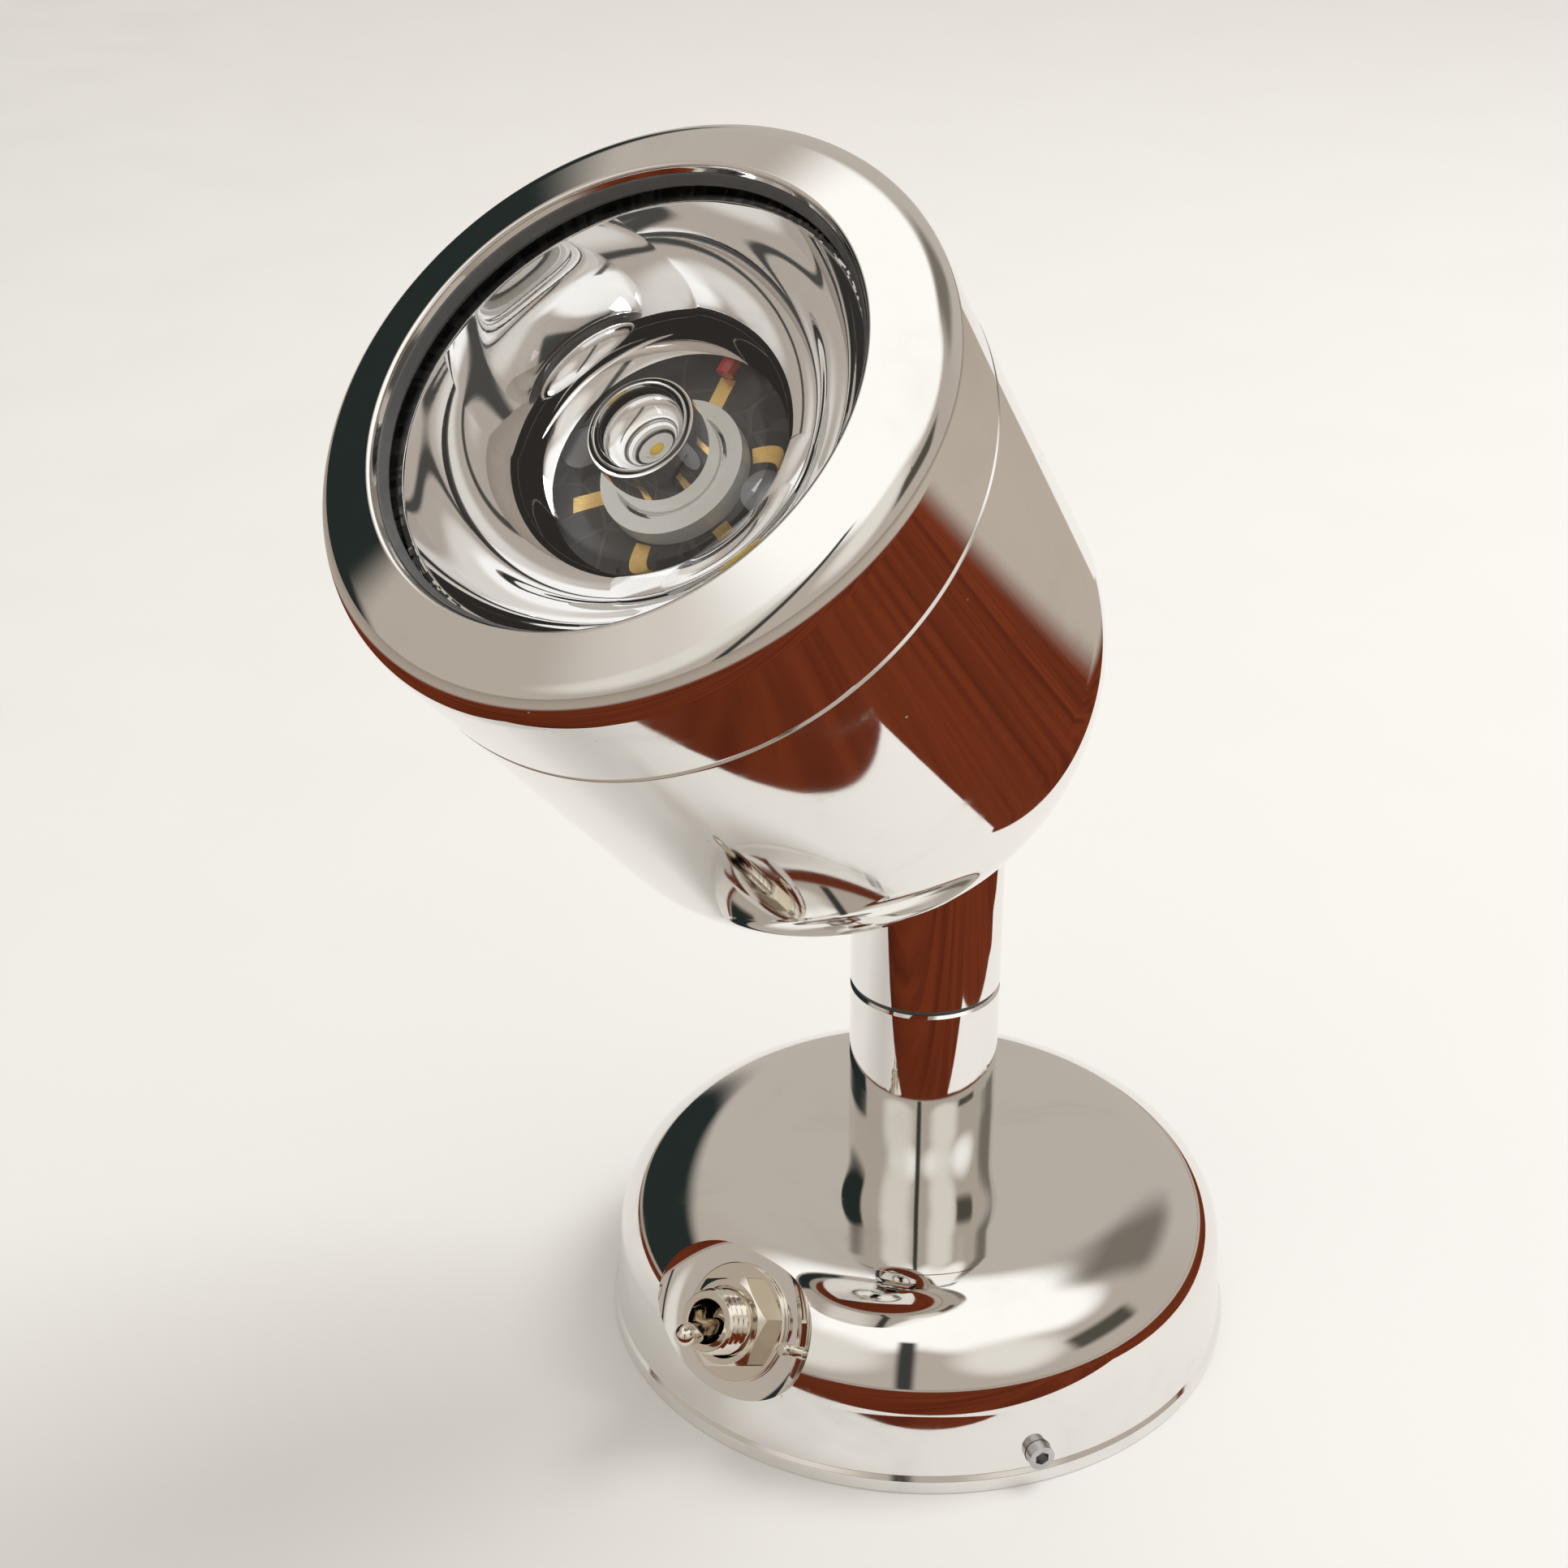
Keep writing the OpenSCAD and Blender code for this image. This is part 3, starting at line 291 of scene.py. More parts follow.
# Colours of the finishes
CHROME = (0.86, 0.85, 0.83)
MIRROR = (0.92, 0.92, 0.92)
PHOSPHOR = (1.0, 0.74, 0.12)
PHOSPHOR_DEEP = (0.95, 0.60, 0.05)
NICKEL = (0.80, 0.75, 0.66)
STEEL = (0.60, 0.60, 0.61)
ZINC = (0.70, 0.71, 0.74)
DARK_STEEL = (0.17, 0.17, 0.18)
DARK_ANODISED = (0.12, 0.12, 0.125)
WHITE_RESIST = (0.86, 0.86, 0.84)
BRASS = (0.80, 0.60, 0.28)
GOLD = (0.94, 0.68, 0.26)


def dress_nodes():
    """Every node keeps its shape, and takes its own finish or the one of its material slot."""
    for name, node in NODES.items():
        for i, material in enumerate(node.data.materials):
            node.data.materials[i] = OWN_FINISHES.get(name, FINISHES[material.name.split(".")[0]])


def arc(centre, radii, first, last, steps):
    """Points along an ellipse, with angles in degrees."""
    turns = (math.radians(first + (last - first) * i / steps) for i in range(steps + 1))
    return [(centre[0] + radii[0] * math.cos(t), centre[1] + radii[1] * math.sin(t)) for t in turns]


def rounded(outline, radius, steps=6, least=20):
    """The closed outline with each corner sharper than least degrees eased by that radius."""
    result = []
    for i, corner in enumerate(outline):
        corner = Vector(corner)
        before = Vector(outline[i - 1]) - corner
        after = Vector(outline[(i + 1) % len(outline)]) - corner
        turn = math.pi - before.angle(after)
        if turn < math.radians(least) or corner.x < FITTED / 100:
            result.append(tuple(corner))
            continue
        reach = min(radius * math.tan(turn / 2), 0.45 * before.length, 0.45 * after.length)
        start = corner + before.normalized() * reach
        end = corner + after.normalized() * reach
        for k in range(steps + 1):
            t = k / steps
            result.append(tuple((1 - t) ** 2 * start + 2 * t * (1 - t) * corner + t * t * end))
    return result


def guarded(outline, guard=0.12 * MM):
    """Extra points near both ends of each long straight run, so that flat places shade flat."""
    result = []
    for i, point in enumerate(outline):
        here, there = Vector(point), Vector(outline[(i + 1) % len(outline)])
        result.append(point)
        run = there - here
        if run.length > 4 * guard:
            step = run.normalized() * guard
            result += [tuple(here + step), tuple(there - step)]
    return result


def link(name, mesh):
    piece = bpy.data.objects.new(name, mesh)
    bpy.context.scene.collection.objects.link(piece)
    return piece


def tidy_mesh(mesh):
    """Closes the mesh, turns its faces outward and shades it smooth."""
    work = bmesh.new()
    work.from_mesh(mesh)
    bmesh.ops.remove_doubles(work, verts=work.verts, dist=FITTED / 500)
    bmesh.ops.recalc_face_normals(work, faces=work.faces)
    work.to_mesh(mesh)
    work.free()
    mesh.polygons.foreach_set("use_smooth", [True] * len(mesh.polygons))
    mesh.update()


def revolve(name, outline, place=Matrix(), segments=256, relief=None):
    """A closed outline of (radius, height) points spun round the Z axis of place."""
    points, rows, faces = [], [], []
    for radius, height in outline:
        first = len(points)
        if radius < FITTED / 100:
            points.append((0, 0, height))
            rows.append([first] * segments)
            continue
        rows.append(list(range(first, first + segments)))
        for i in range(segments):
            angle = TURN * i / segments
            r = radius + (relief(angle, radius, height) if relief else 0)
            points.append((r * math.cos(angle), r * math.sin(angle), height))
    for k, row in enumerate(rows):
        following = rows[(k + 1) % len(rows)]
        for i in range(segments):
            j = (i + 1) % segments
            face = list(dict.fromkeys((row[i], row[j], following[j], following[i])))
            if len(face) > 2:
                faces.append(face)
    mesh = bpy.data.meshes.new(name)
    mesh.from_pydata(points, [], faces)
    mesh.transform(place)
    tidy_mesh(mesh)
    return link(name, mesh)


def bar(name, radius, low, high, place=Matrix(), segments=96):
    """A plain round rod along the Z axis of place."""
    return revolve(name, [(0, low), (radius, low), (radius, high), (0, high)], place, segments)


def prism(name, outline, low, high, place=Matrix()):
    """A closed (x, y) outline, raised from low to high."""
    count = len(outline)
    points = [(x, y, z) for z in (low, high) for x, y in outline]
    faces = [list(range(count)), list(range(count, 2 * count))]
    faces += [(i, (i + 1) % count, count + (i + 1) % count, count + i) for i in range(count)]
    mesh = bpy.data.meshes.new(name)
    mesh.from_pydata(points, [], faces)
    mesh.transform(place)
    tidy_mesh(mesh)
    return link(name, mesh)


def carve(piece, tool, operation="DIFFERENCE"):
    """Cuts, joins or meets piece with tool, and deletes tool."""
    modifier = piece.modifiers.new("carve", "BOOLEAN")
    modifier.object = tool
    modifier.operation = operation
    modifier.solver = "EXACT"
    bpy.context.view_layer.update()
    result = bpy.data.meshes.new_from_object(piece.evaluated_get(bpy.context.evaluated_depsgraph_get()))
    piece.modifiers.clear()
    piece.data = result
    bpy.data.objects.remove(tool)


def crease(piece, degrees):
    """Shades smooth, but keeps edges sharper than that many degrees."""
    mesh = piece.data
    mesh.polygons.foreach_set("use_smooth", [True] * len(mesh.polygons))
    mesh.set_sharp_from_angle(angle=math.radians(degrees))
    mesh.update()


def dress(piece, body, finish, *nodes):
    """Gives a piece its finish, its body and the nodes that it stands for."""
    piece.data.materials.clear()
    piece.data.materials.append(FINISHES[finish])
    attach(piece, body)
    if nodes:
        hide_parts(*nodes)


# Base cover, in the same sizes as its node
COVER_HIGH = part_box("base_cover")[1]
BASE_R = COVER_HIGH.x
BASE_H = COVER_HIGH.z
BASE_WALL = 1.3 * MM
RIM_H = 8 * MM
RIM_DRAFT = 0.5 * MM
SHOULDER_W = 10.5 * MM
DISH_D = 0.5 * MM
DISH_R = 15 * MM
LIP_H = 1.8 * MM
LIP_OUT = 0.3 * MM
STEM_R = 7 * MM
STUD_R = 5 * MM
SHOULDER_H = BASE_H - RIM_H
CROWN_R = BASE_R - LIP_OUT - RIM_DRAFT - SHOULDER_W
TOP_Z = BASE_H - DISH_D
INNER_FOOT_R = BASE_R - LIP_OUT - BASE_WALL

# Switch
SWITCH_AZ = math.radians(-97)
SWITCH_EL = math.radians(31)
LAND_D = 2.4 * MM
LAND_DROP = 0.15 * MM
LAND_FLAT_R = 6.5 * MM
LAND_OPEN = 3.2 * MM
BUSHING_R = 2.95 * MM
BUSHING_BORE_R = 2 * MM
BUSHING_OUT = 4.9 * MM
WASHER_R = 5.4 * MM
WASHER_T = 0.5 * MM
KEY_R = 0.5 * MM
KEY_H = 0.9 * MM
NUT_AF = 7.8 * MM
NUT_T = 1.7 * MM
NUT_TURN = math.radians(-5)
NUT_CORNER_SHARE = 0.03
NUT_CONE_H = 0.42 * MM
NUT_CONE_IN = 0.2 * MM
NUT_MOUTH = 0.3 * MM
NUT_MOUTH_D = 0.25 * MM
THREAD_PITCH = 0.75 * MM
THREAD_D = 0.26 * MM
CASE_TOP = 1.65 * MM
LEVER_PIVOT = 0.9 * MM
LEVER_REST = math.radians(12)
LEVER_LEN = 6.4 * MM
WASHER_EDGE = 0.16 * MM
KEY_EDGE = 0.15 * MM
MOUTH_EDGE = 0.12 * MM
LEVER_TIP_R = 1.05 * MM
LEVER_ROOT_R = 0.8 * MM
LEVER_BALL_R = 1.85 * MM
LEVER_TAIL = 1.6 * MM
SET_SCREW_AZ = math.radians(-36.5)
SET_SCREW_Z = 3.2 * MM
SET_SCREW_R = 1.2 * MM
UPSTAND_R = 27.55 * MM

# Head, along its own axis from the tilt axis
HINGE_Z = next(j for j in frame["joints"] if j["name"] == "head_tilt")["pos_m"][2]
HEAD_EL = math.radians(48)
POLE_U = 6.5 * MM
DOME_LEN = 20.5 * MM
DOME_R = 23.4 * MM
SKIRT_LEN = 26.9 * MM
SKIRT_FLARE = 0.8 * MM
SHELL_WALL = 1.6 * MM
SPIGOT_LEN = 6 * MM
SPIGOT_R = 23.05 * MM
SHELL_BORE_R = 22.2 * MM
LEDGE_U = 43 * MM
NECK_R = 4.05 * MM
NECK_WASHER_R = 6.8 * MM
SEAM_CHAMFER = 0.2 * MM
SHELL_EDGE = 0.08 * MM
BEZEL_EDGE = 0.06 * MM
LENS_EDGE = 0.07 * MM
BEZEL_FLARE = 0.3 * MM
BEZEL_LEN = 12 * MM
BEZEL_ROUND = 2.8 * MM
FACE_SLOPE = math.radians(15)
LIP_R = 18.9 * MM
LIP_ROUND = 0.3 * MM
WINDOW_R = 18.3 * MM
SEAL_T = 0.8 * MM
LENS_RECESS = 2 * MM
LENS_H = 14.4 * MM
FLANGE_R = 21.85 * MM
FLANGE_T = 1.4 * MM
LENS_REAR_R = 6.8 * MM
LENS_WALL_R = 17.8 * MM
MIRROR_FROM_R = 9.3 * MM
LENS_STEPS = 96
LENS_BEND = 0.35
WELL_R = 4.1 * MM
WELL_TOP_D = 5.6 * MM
WELL_DOME_H = 3.0 * MM
GASKET_T = 0.5 * MM
LOCATOR_H = 1.5 * MM
EMITTER_H = 0.7 * MM
EMITTER_DOME_R = 1.4 * MM
WHITE_SPOT_R = 3.7 * MM
# Thickness of the dark sheet that paints shade into the bezel's throat, and its share of the way up the
# throat
THROAT_SHADE_T = 0.12 * MM
THROAT_SHADE_SHARE = 0.72
DOME_U = POLE_U + DOME_LEN
SEAM_U = DOME_U + SKIRT_LEN
FRONT_U = SEAM_U + BEZEL_LEN
SEAM_R = DOME_R + SKIRT_FLARE
LENS_U = FRONT_U - LENS_RECESS
LENS_REAR_U = LENS_U - LENS_H
BOARD_U = LENS_REAR_U - LOCATOR_H
HEAD_PLACE = Matrix.Translation((0, 0, HINGE_Z)) @ Matrix.Rotation(math.pi / 2 - HEAD_EL, 4, "X")


# Finishes, by the nodes' material slots
FINISHES = {
    "chrome": polished("chrome", CHROME, 0.035, 0.14),
    "nickel": polished("nickel", NICKEL, 0.09, 0.12, dust=0.5),
    "steel": turned("steel", STEEL, 0.26, (0.44, 0.43, 0.42)),
    "plate": turned("plate", ZINC, 0.34, (0.62, 0.60, 0.50), grain=900),
    "aluminium": turned("aluminium", DARK_ANODISED, 0.3, (0.07, 0.07, 0.07), grain=1100),
    "brass": turned("brass", BRASS, 0.2, (0.60, 0.42, 0.17)),
    "gold_pad": turned("gold_pad", GOLD, 0.22, (0.80, 0.52, 0.18)),
    "washer_plastic": moulded("washer_plastic", (0.05, 0.05, 0.05), 0.45, (0.08, 0.08, 0.08)),
    "gasket": moulded("gasket", (0.085, 0.085, 0.085), 0.38, (0.12, 0.12, 0.12)),
    "seal": moulded("seal", (0.02, 0.02, 0.02), 0.6, (0.04, 0.04, 0.04)),
    "black_tube": moulded("black_tube", (0.02, 0.02, 0.022), 0.5, (0.035, 0.035, 0.035)),
    "white_ring": moulded("white_ring", (0.85, 0.85, 0.82), 0.45, (0.78, 0.78, 0.74)),
    "led_white": moulded("led_white", (0.88, 0.88, 0.86), 0.35, (0.80, 0.80, 0.78)),
    "dark_parts": moulded("dark_parts", (0.04, 0.04, 0.045), 0.4, (0.07, 0.07, 0.07)),
    "switch_red": moulded("switch_red", (0.45, 0.05, 0.04), 0.38, (0.38, 0.04, 0.035)),
    "terminal_white": moulded("terminal_white", (0.82, 0.80, 0.74), 0.4, (0.75, 0.72, 0.66)),
    "wire_red": moulded("wire_red", (0.55, 0.03, 0.03), 0.35, (0.45, 0.03, 0.03), 2600),
    "wire_black": moulded("wire_black", (0.02, 0.02, 0.02), 0.35, (0.04, 0.04, 0.04), 2600),
    "lens_clear": clear_moulding("lens_clear"),
    "lens_mirror": polished("lens_mirror", MIRROR, 0.012, 0.03, dust=0.0),
    "phosphor": phosphor("phosphor"),
    "black_board": board("black_board", (0.02, 0.02, 0.022), (0.05, 0.05, 0.05),
                         NODES["led_board"].matrix_world.inverted() @ HEAD_PLACE, WHITE_SPOT_R),
    "green_board": board("green_board", (0.02, 0.14, 0.06), (0.04, 0.24, 0.10)),
}

# Nodes with a finish of their own
OWN_FINISHES = {
    "board_screws": turned("dark_steel", DARK_STEEL, 0.32, (0.12, 0.12, 0.12), grain=2200),
}


def switch_place():
    """The switch's own frame: origin on the flat, Z outward along the bushing."""
    crown_turn = math.atan(math.tan(SWITCH_EL) * SHOULDER_H / SHOULDER_W)
    out = CROWN_R + SHOULDER_W * math.cos(crown_turn)
    out += LAND_DROP * math.sin(SWITCH_EL) - LAND_D * math.cos(SWITCH_EL)
    up = RIM_H + SHOULDER_H * math.sin(crown_turn)
    up -= LAND_D * math.sin(SWITCH_EL) + LAND_DROP * math.cos(SWITCH_EL)
    spot = (out * math.cos(SWITCH_AZ), out * math.sin(SWITCH_AZ), up)
    facing = Matrix.Rotation(SWITCH_AZ, 4, "Z") @ Matrix.Rotation(math.pi / 2 - SWITCH_EL, 4, "Y")
    return Matrix.Translation(spot) @ facing


SWITCH_PLACE = switch_place()


def dish(drop=0.0, steps=48):
    """The shallow dish round the stem, from its outer edge inward."""
    points = []
    for i in range(steps + 1):
        r = DISH_R + (STEM_R - DISH_R) * i / steps
        ease = (1 + math.cos(math.pi * (r - STEM_R) / (DISH_R - STEM_R))) / 2
        points.append((r, BASE_H - DISH_D * ease - drop))
    return points


def make_base_cover():
    """The spun cover with its rolled lip, drafted rim, round shoulder and dish."""
    lip = [(BASE_R - LIP_OUT, 0), (BASE_R, 0), (BASE_R, LIP_H * 0.72), (BASE_R - LIP_OUT, LIP_H)]
    crown = arc((CROWN_R, RIM_H), (SHOULDER_W, SHOULDER_H), 0, 90, 90)
    outer = rounded([(0, 0), *lip, *crown, *dish(), (0, TOP_Z)], LIP_OUT, 10)
    cover = revolve("base_cover_skin", guarded(outer), segments=320)
    inner = [(0, -BASE_WALL), (INNER_FOOT_R, -BASE_WALL), (INNER_FOOT_R, LIP_H)]
    inner += arc((CROWN_R, RIM_H), (SHOULDER_W - BASE_WALL, SHOULDER_H - BASE_WALL), 0, 90, 24)
    inner += dish(BASE_WALL, 12) + [(0, TOP_Z - BASE_WALL)]
    hollow = revolve("hollow", inner, segments=160)
    pad_r = LAND_FLAT_R + BASE_WALL
    pad = [(0, -BASE_WALL), (pad_r, -BASE_WALL), (pad_r, pad_r), (0, pad_r)]
    carve(hollow, revolve("pad", pad, SWITCH_PLACE, 96))
    carve(cover, hollow)
    mouth = [(0, 0), (LAND_FLAT_R, 0)]
    mouth += arc((LAND_FLAT_R, LAND_OPEN), (LAND_OPEN, LAND_OPEN), -90, -28, 24)
    mouth += [(LAND_FLAT_R + LAND_OPEN, BUSHING_OUT), (0, BUSHING_OUT)]
    carve(cover, revolve("mouth", guarded(mouth), SWITCH_PLACE, 256))
    carve(cover, bar("bushing_hole", BUSHING_R + FITTED, -BUSHING_OUT, BUSHING_OUT, SWITCH_PLACE))
    carve(cover, bar("stud_hole", STUD_R + FITTED, TOP_Z / 2, BASE_H + BASE_WALL))
    screw_way = Matrix.Rotation(SET_SCREW_AZ, 4, "Z") @ Matrix.Translation((0, 0, SET_SCREW_Z))
    screw_way = screw_way @ Matrix.Rotation(math.pi / 2, 4, "Y")
    carve(cover, bar("screw_hole", SET_SCREW_R + FITTED, UPSTAND_R, BASE_R + BASE_WALL, screw_way))
    crease(cover, 14)
    dress(cover, "base", "chrome", "base_cover")


def make_head_shell():
    """The bullet shell, with its thin seam chamfer and the spigot behind the bezel."""
    rear = -math.degrees(math.acos(NECK_R / DOME_R))
    inner_r, inner_len = DOME_R - SHELL_WALL, DOME_LEN - SHELL_WALL
    seat_turn = math.degrees(math.acos(NECK_WASHER_R / inner_r))
    seat_u = DOME_U - inner_len * math.sin(math.radians(seat_turn))
    outline = arc((0, DOME_U), (DOME_R, DOME_LEN), rear, 0, 120)
    outline += [(SEAM_R, SEAM_U - SEAM_CHAMFER), (SEAM_R - SEAM_CHAMFER, SEAM_U), (SPIGOT_R, SEAM_U)]
    outline += [(SPIGOT_R, SEAM_U + SPIGOT_LEN), (SHELL_BORE_R, SEAM_U + SPIGOT_LEN)]
    outline += [(SHELL_BORE_R, LEDGE_U), (inner_r, LEDGE_U)]
    outline += arc((0, DOME_U), (inner_r, inner_len), 0, -seat_turn, 32) + [(NECK_R, seat_u)]
    shell = revolve("head_shell_skin", guarded(rounded(outline, SHELL_EDGE)), HEAD_PLACE, 320)
    dress(shell, "head", "chrome", "head_shell")


def make_bezel():
    """The screwed ring: outer rounding, sloping face, fine inner lip and narrowing throat."""
    bezel_r = SEAM_R + BEZEL_FLARE
    normal = 90 - math.degrees(FACE_SLOPE)
    round_r = bezel_r - BEZEL_ROUND
    face_in_r = round_r + BEZEL_ROUND * math.sin(FACE_SLOPE)
    drop = (face_in_r - LIP_R - LIP_ROUND) * math.tan(FACE_SLOPE)
    round_u = FRONT_U - drop - BEZEL_ROUND * math.cos(FACE_SLOPE)
    back_u = SEAM_U + FITTED
    step_u = SEAM_U + SPIGOT_LEN + SEAL_T
    bore_r = SPIGOT_R + FITTED
    pocket_r = SHELL_BORE_R + FITTED
    outline = [(bore_r, back_u), (SEAM_R - SEAM_CHAMFER, back_u), (SEAM_R, back_u + SEAM_CHAMFER)]
    outline += arc((round_r, round_u), (BEZEL_ROUND, BEZEL_ROUND), 0, normal, 64)
    outline += arc((LIP_R + LIP_ROUND, FRONT_U - LIP_ROUND), (LIP_ROUND, LIP_ROUND), normal, 180, 24)
    outline += [(WINDOW_R, LENS_U + GASKET_T), (pocket_r, LENS_U + GASKET_T)]
    outline += [(pocket_r, step_u), (bore_r, step_u)]
    ring = revolve("bezel_skin", guarded(rounded(outline, BEZEL_EDGE)), HEAD_PLACE, 320)
    dress(ring, "head", "chrome", "bezel")


def make_throat_shade_sheet():
    """Painted shade: a thin dark sheet shaped like a gasket lip, which stands up against the bezel's
    throat and darkens it as shade would.
    """
    foot = Vector((WINDOW_R, LENS_U + GASKET_T))
    crest = foot.lerp(Vector((LIP_R, FRONT_U - LIP_ROUND)), THROAT_SHADE_SHARE)
    inner, outer = Vector((THROAT_SHADE_T, 0)), Vector((FITTED / 2, 0))
    outline = [foot - inner, foot - outer, crest - outer, crest - inner]
    lip = revolve("throat_shade_sheet", guarded([tuple(p) for p in outline]), HEAD_PLACE, 320)
    dress(lip, "head", "gasket")


def make_lens():
    """The clear collimator: flat face, flange, curved reflecting wall and a well with a domed top."""
    wall_len = LENS_H - FLANGE_T
    outline = [(WELL_R, LENS_REAR_U)]
    for i in range(LENS_STEPS + 1):
        share = (i / LENS_STEPS) ** 2
        rise = math.sqrt(share * (1 + LENS_BEND - LENS_BEND * share))
        outline.append((LENS_REAR_R + (LENS_WALL_R - LENS_REAR_R) * rise, LENS_REAR_U + wall_len * share))
    outline += [(FLANGE_R, LENS_U - FLANGE_T), (FLANGE_R, LENS_U), (0, LENS_U)]
    outline += arc((0, LENS_U - WELL_TOP_D), (WELL_R, WELL_DOME_H), 90, 0, 48)
    lens = revolve("lens_body", guarded(rounded(outline, LENS_EDGE)), HEAD_PLACE, 320)
    dress(lens, "head", "lens_clear", "lens")
    # The wall is a mirror outside MIRROR_FROM_R, and the board shows through inside it
    lens.data.materials.append(FINISHES["lens_mirror"])
    for face in lens.data.polygons:
        spot = HEAD_PLACE.inverted() @ face.center
        on_wall = math.hypot(spot.x, spot.y) > MIRROR_FROM_R and spot.z < LENS_U - FLANGE_T
        face.material_index = int(on_wall)


def make_emitter():
    """The light source's yellow dome. The white base under it is a node."""
    base_u = BOARD_U + EMITTER_H
    dome = [(0, base_u), *arc((0, base_u), (EMITTER_DOME_R, EMITTER_DOME_R), 0, 90, 32)]
    dress(revolve("emitter_lens", guarded(dome), HEAD_PLACE, 96), "head", "phosphor", "emitter_dome")


def make_lever():
    """The bat lever: ball, slim waist and round tip."""
    turn = math.degrees(math.acos(LEVER_ROOT_R / LEVER_BALL_R))
    outline = [(0, -LEVER_TAIL), (LEVER_ROOT_R, -LEVER_TAIL)]
    outline += arc((0, 0), (LEVER_BALL_R, LEVER_BALL_R), -turn, turn, 32)
    outline += arc((0, LEVER_LEN), (LEVER_TIP_R, LEVER_TIP_R), -10, 90, 32)
    place = SWITCH_PLACE @ Matrix.Translation((0, 0, LEVER_PIVOT)) @ Matrix.Rotation(LEVER_REST, 4, "Y")
    dress(revolve("lever_bat", guarded(outline), place, 96), "lever", "nickel", "switch_lever")


def make_bushing():
    """The threaded bushing, with a true helical thread down to the case."""
    def thread(angle, radius, height):
        if radius < BUSHING_R - THREAD_D / 2 or height > BUSHING_OUT - THREAD_D:
            return 0
        turn = (height / THREAD_PITCH - angle / TURN) % 1
        return -THREAD_D * (1 - abs(2 * turn - 1))

    steps = 150
    outline = [(BUSHING_BORE_R, -CASE_TOP), (BUSHING_R, -CASE_TOP)]
    rise = BUSHING_OUT - THREAD_D + CASE_TOP
    outline += [(BUSHING_R, -CASE_TOP + rise * i / steps) for i in range(1, steps + 1)]
    # Only the mouth's corners are taken, because the one on the thread is already there
    outline += rounded([(BUSHING_R, BUSHING_OUT - THREAD_D), (BUSHING_R - THREAD_D, BUSHING_OUT),
                        (BUSHING_BORE_R, BUSHING_OUT), (BUSHING_BORE_R, 0)], MOUTH_EDGE)[8:-1]
    bushing = revolve("bushing_thread", outline, SWITCH_PLACE, 144, thread)
    crease(bushing, 40)
    dress(bushing, "base", "nickel", "switch_bushing")


def make_switch_washer():
    """The flat washer with its raised locating key."""
    bore = BUSHING_R + FITTED
    outline = [(bore, 0), (WASHER_R, 0), (WASHER_R, WASHER_T), (bore, WASHER_T)]
    washer = revolve("washer_disc", guarded(rounded(outline, WASHER_EDGE), 0.06 * MM), SWITCH_PLACE, 160)
    key = [(0, 0), (KEY_R, 0), (KEY_R, KEY_H), (0, KEY_H)]
    at = SWITCH_PLACE @ Matrix.Translation((0, WASHER_R + KEY_R, 0))
    pip = revolve("key_pip", guarded(rounded(key, KEY_EDGE), 0.05 * MM), at, 48)
    web = prism("key_web", [(-KEY_R, WASHER_R - KEY_R), (KEY_R, WASHER_R - KEY_R),
                            (KEY_R, WASHER_R + KEY_R), (-KEY_R, WASHER_R + KEY_R)], 0, WASHER_T * 0.94,
                SWITCH_PLACE)
    carve(pip, web, "UNION")
    carve(washer, pip, "UNION")
    crease(washer, 30)
    dress(washer, "base", "nickel", "switch_washer")


def make_switch_nut():
    """The hexagonal nut with its corners turned away on a cone."""
    place = SWITCH_PLACE @ Matrix.Translation((0, 0, WASHER_T)) @ Matrix.Rotation(NUT_TURN, 4, "Z")
    corner = NUT_AF / math.sqrt(3)
    hexagon = [(corner * math.cos(TURN * i / 6), corner * math.sin(TURN * i / 6)) for i in range(6)]
    rim = [Vector(p) for p in hexagon]
    eased = []
    for i, point in enumerate(rim):
        for towards in (rim[i - 1], rim[(i + 1) % 6]):
            eased.append(tuple(point.lerp(towards, NUT_CORNER_SHARE)))
    nut = prism("nut_hex", eased, 0, NUT_T, place)
    cone = [(0, -FITTED), (corner, -FITTED), (corner + FITTED, NUT_T - NUT_CONE_H)]
    cone += [(NUT_AF / 2 - NUT_CONE_IN, NUT_T + FITTED), (0, NUT_T + FITTED)]
    carve(nut, revolve("nut_cone", guarded(cone), place, 160), "INTERSECT")
    tight, wide = BUSHING_R + FITTED, BUSHING_R + NUT_MOUTH
    bore = [(0, -NUT_T), (wide, -NUT_T), (wide, 0), (tight, NUT_MOUTH_D), (tight, NUT_T - NUT_MOUTH_D)]
    bore += [(wide, NUT_T), (wide, 2 * NUT_T), (0, 2 * NUT_T)]
    carve(nut, revolve("nut_bore", bore, place, 144))
    crease(nut, 16)
    dress(nut, "base", "nickel", "switch_nut")


def make_pieces():
    make_base_cover()
    make_head_shell()
    make_bezel()
    # A dark sheet that paints shade into the bezel's throat
    make_throat_shade_sheet()
    make_lens()
    make_emitter()
    make_lever()
    make_bushing()
    make_switch_washer()
    make_switch_nut()


# Studio
PALE = (0.93, 0.925, 0.915)
WOOD = (0.17, 0.036, 0.014)
WOOD_DARK = (0.10, 0.020, 0.009)
GREY_CARD = (0.46, 0.41, 0.36)
WOOD_EDGE = (0.20, 0.26)
CARD_REACH = 6.0
CARD_Z = 0.3 * MM
WALL = (0.50, 0.44, 0.385)
CEILING = (1.15, 1.13, 1.09)
DARK_FLAG = (0.020, 0.028, 0.026)
BACKDROP = (0.66, 0.63, 0.59)
REAR_WALL = (0.53, 0.48, 0.43)
FRONT_GLOW = (0.80, 0.76, 0.70)
SIDE_GLOW = (0.84, 0.80, 0.74)
FRONT_FLAG = (0.05, 0.05, 0.045)
SIDE_FLAG = (0.09, 0.08, 0.065)
REAR_FLAG = (0.20, 0.18, 0.15)
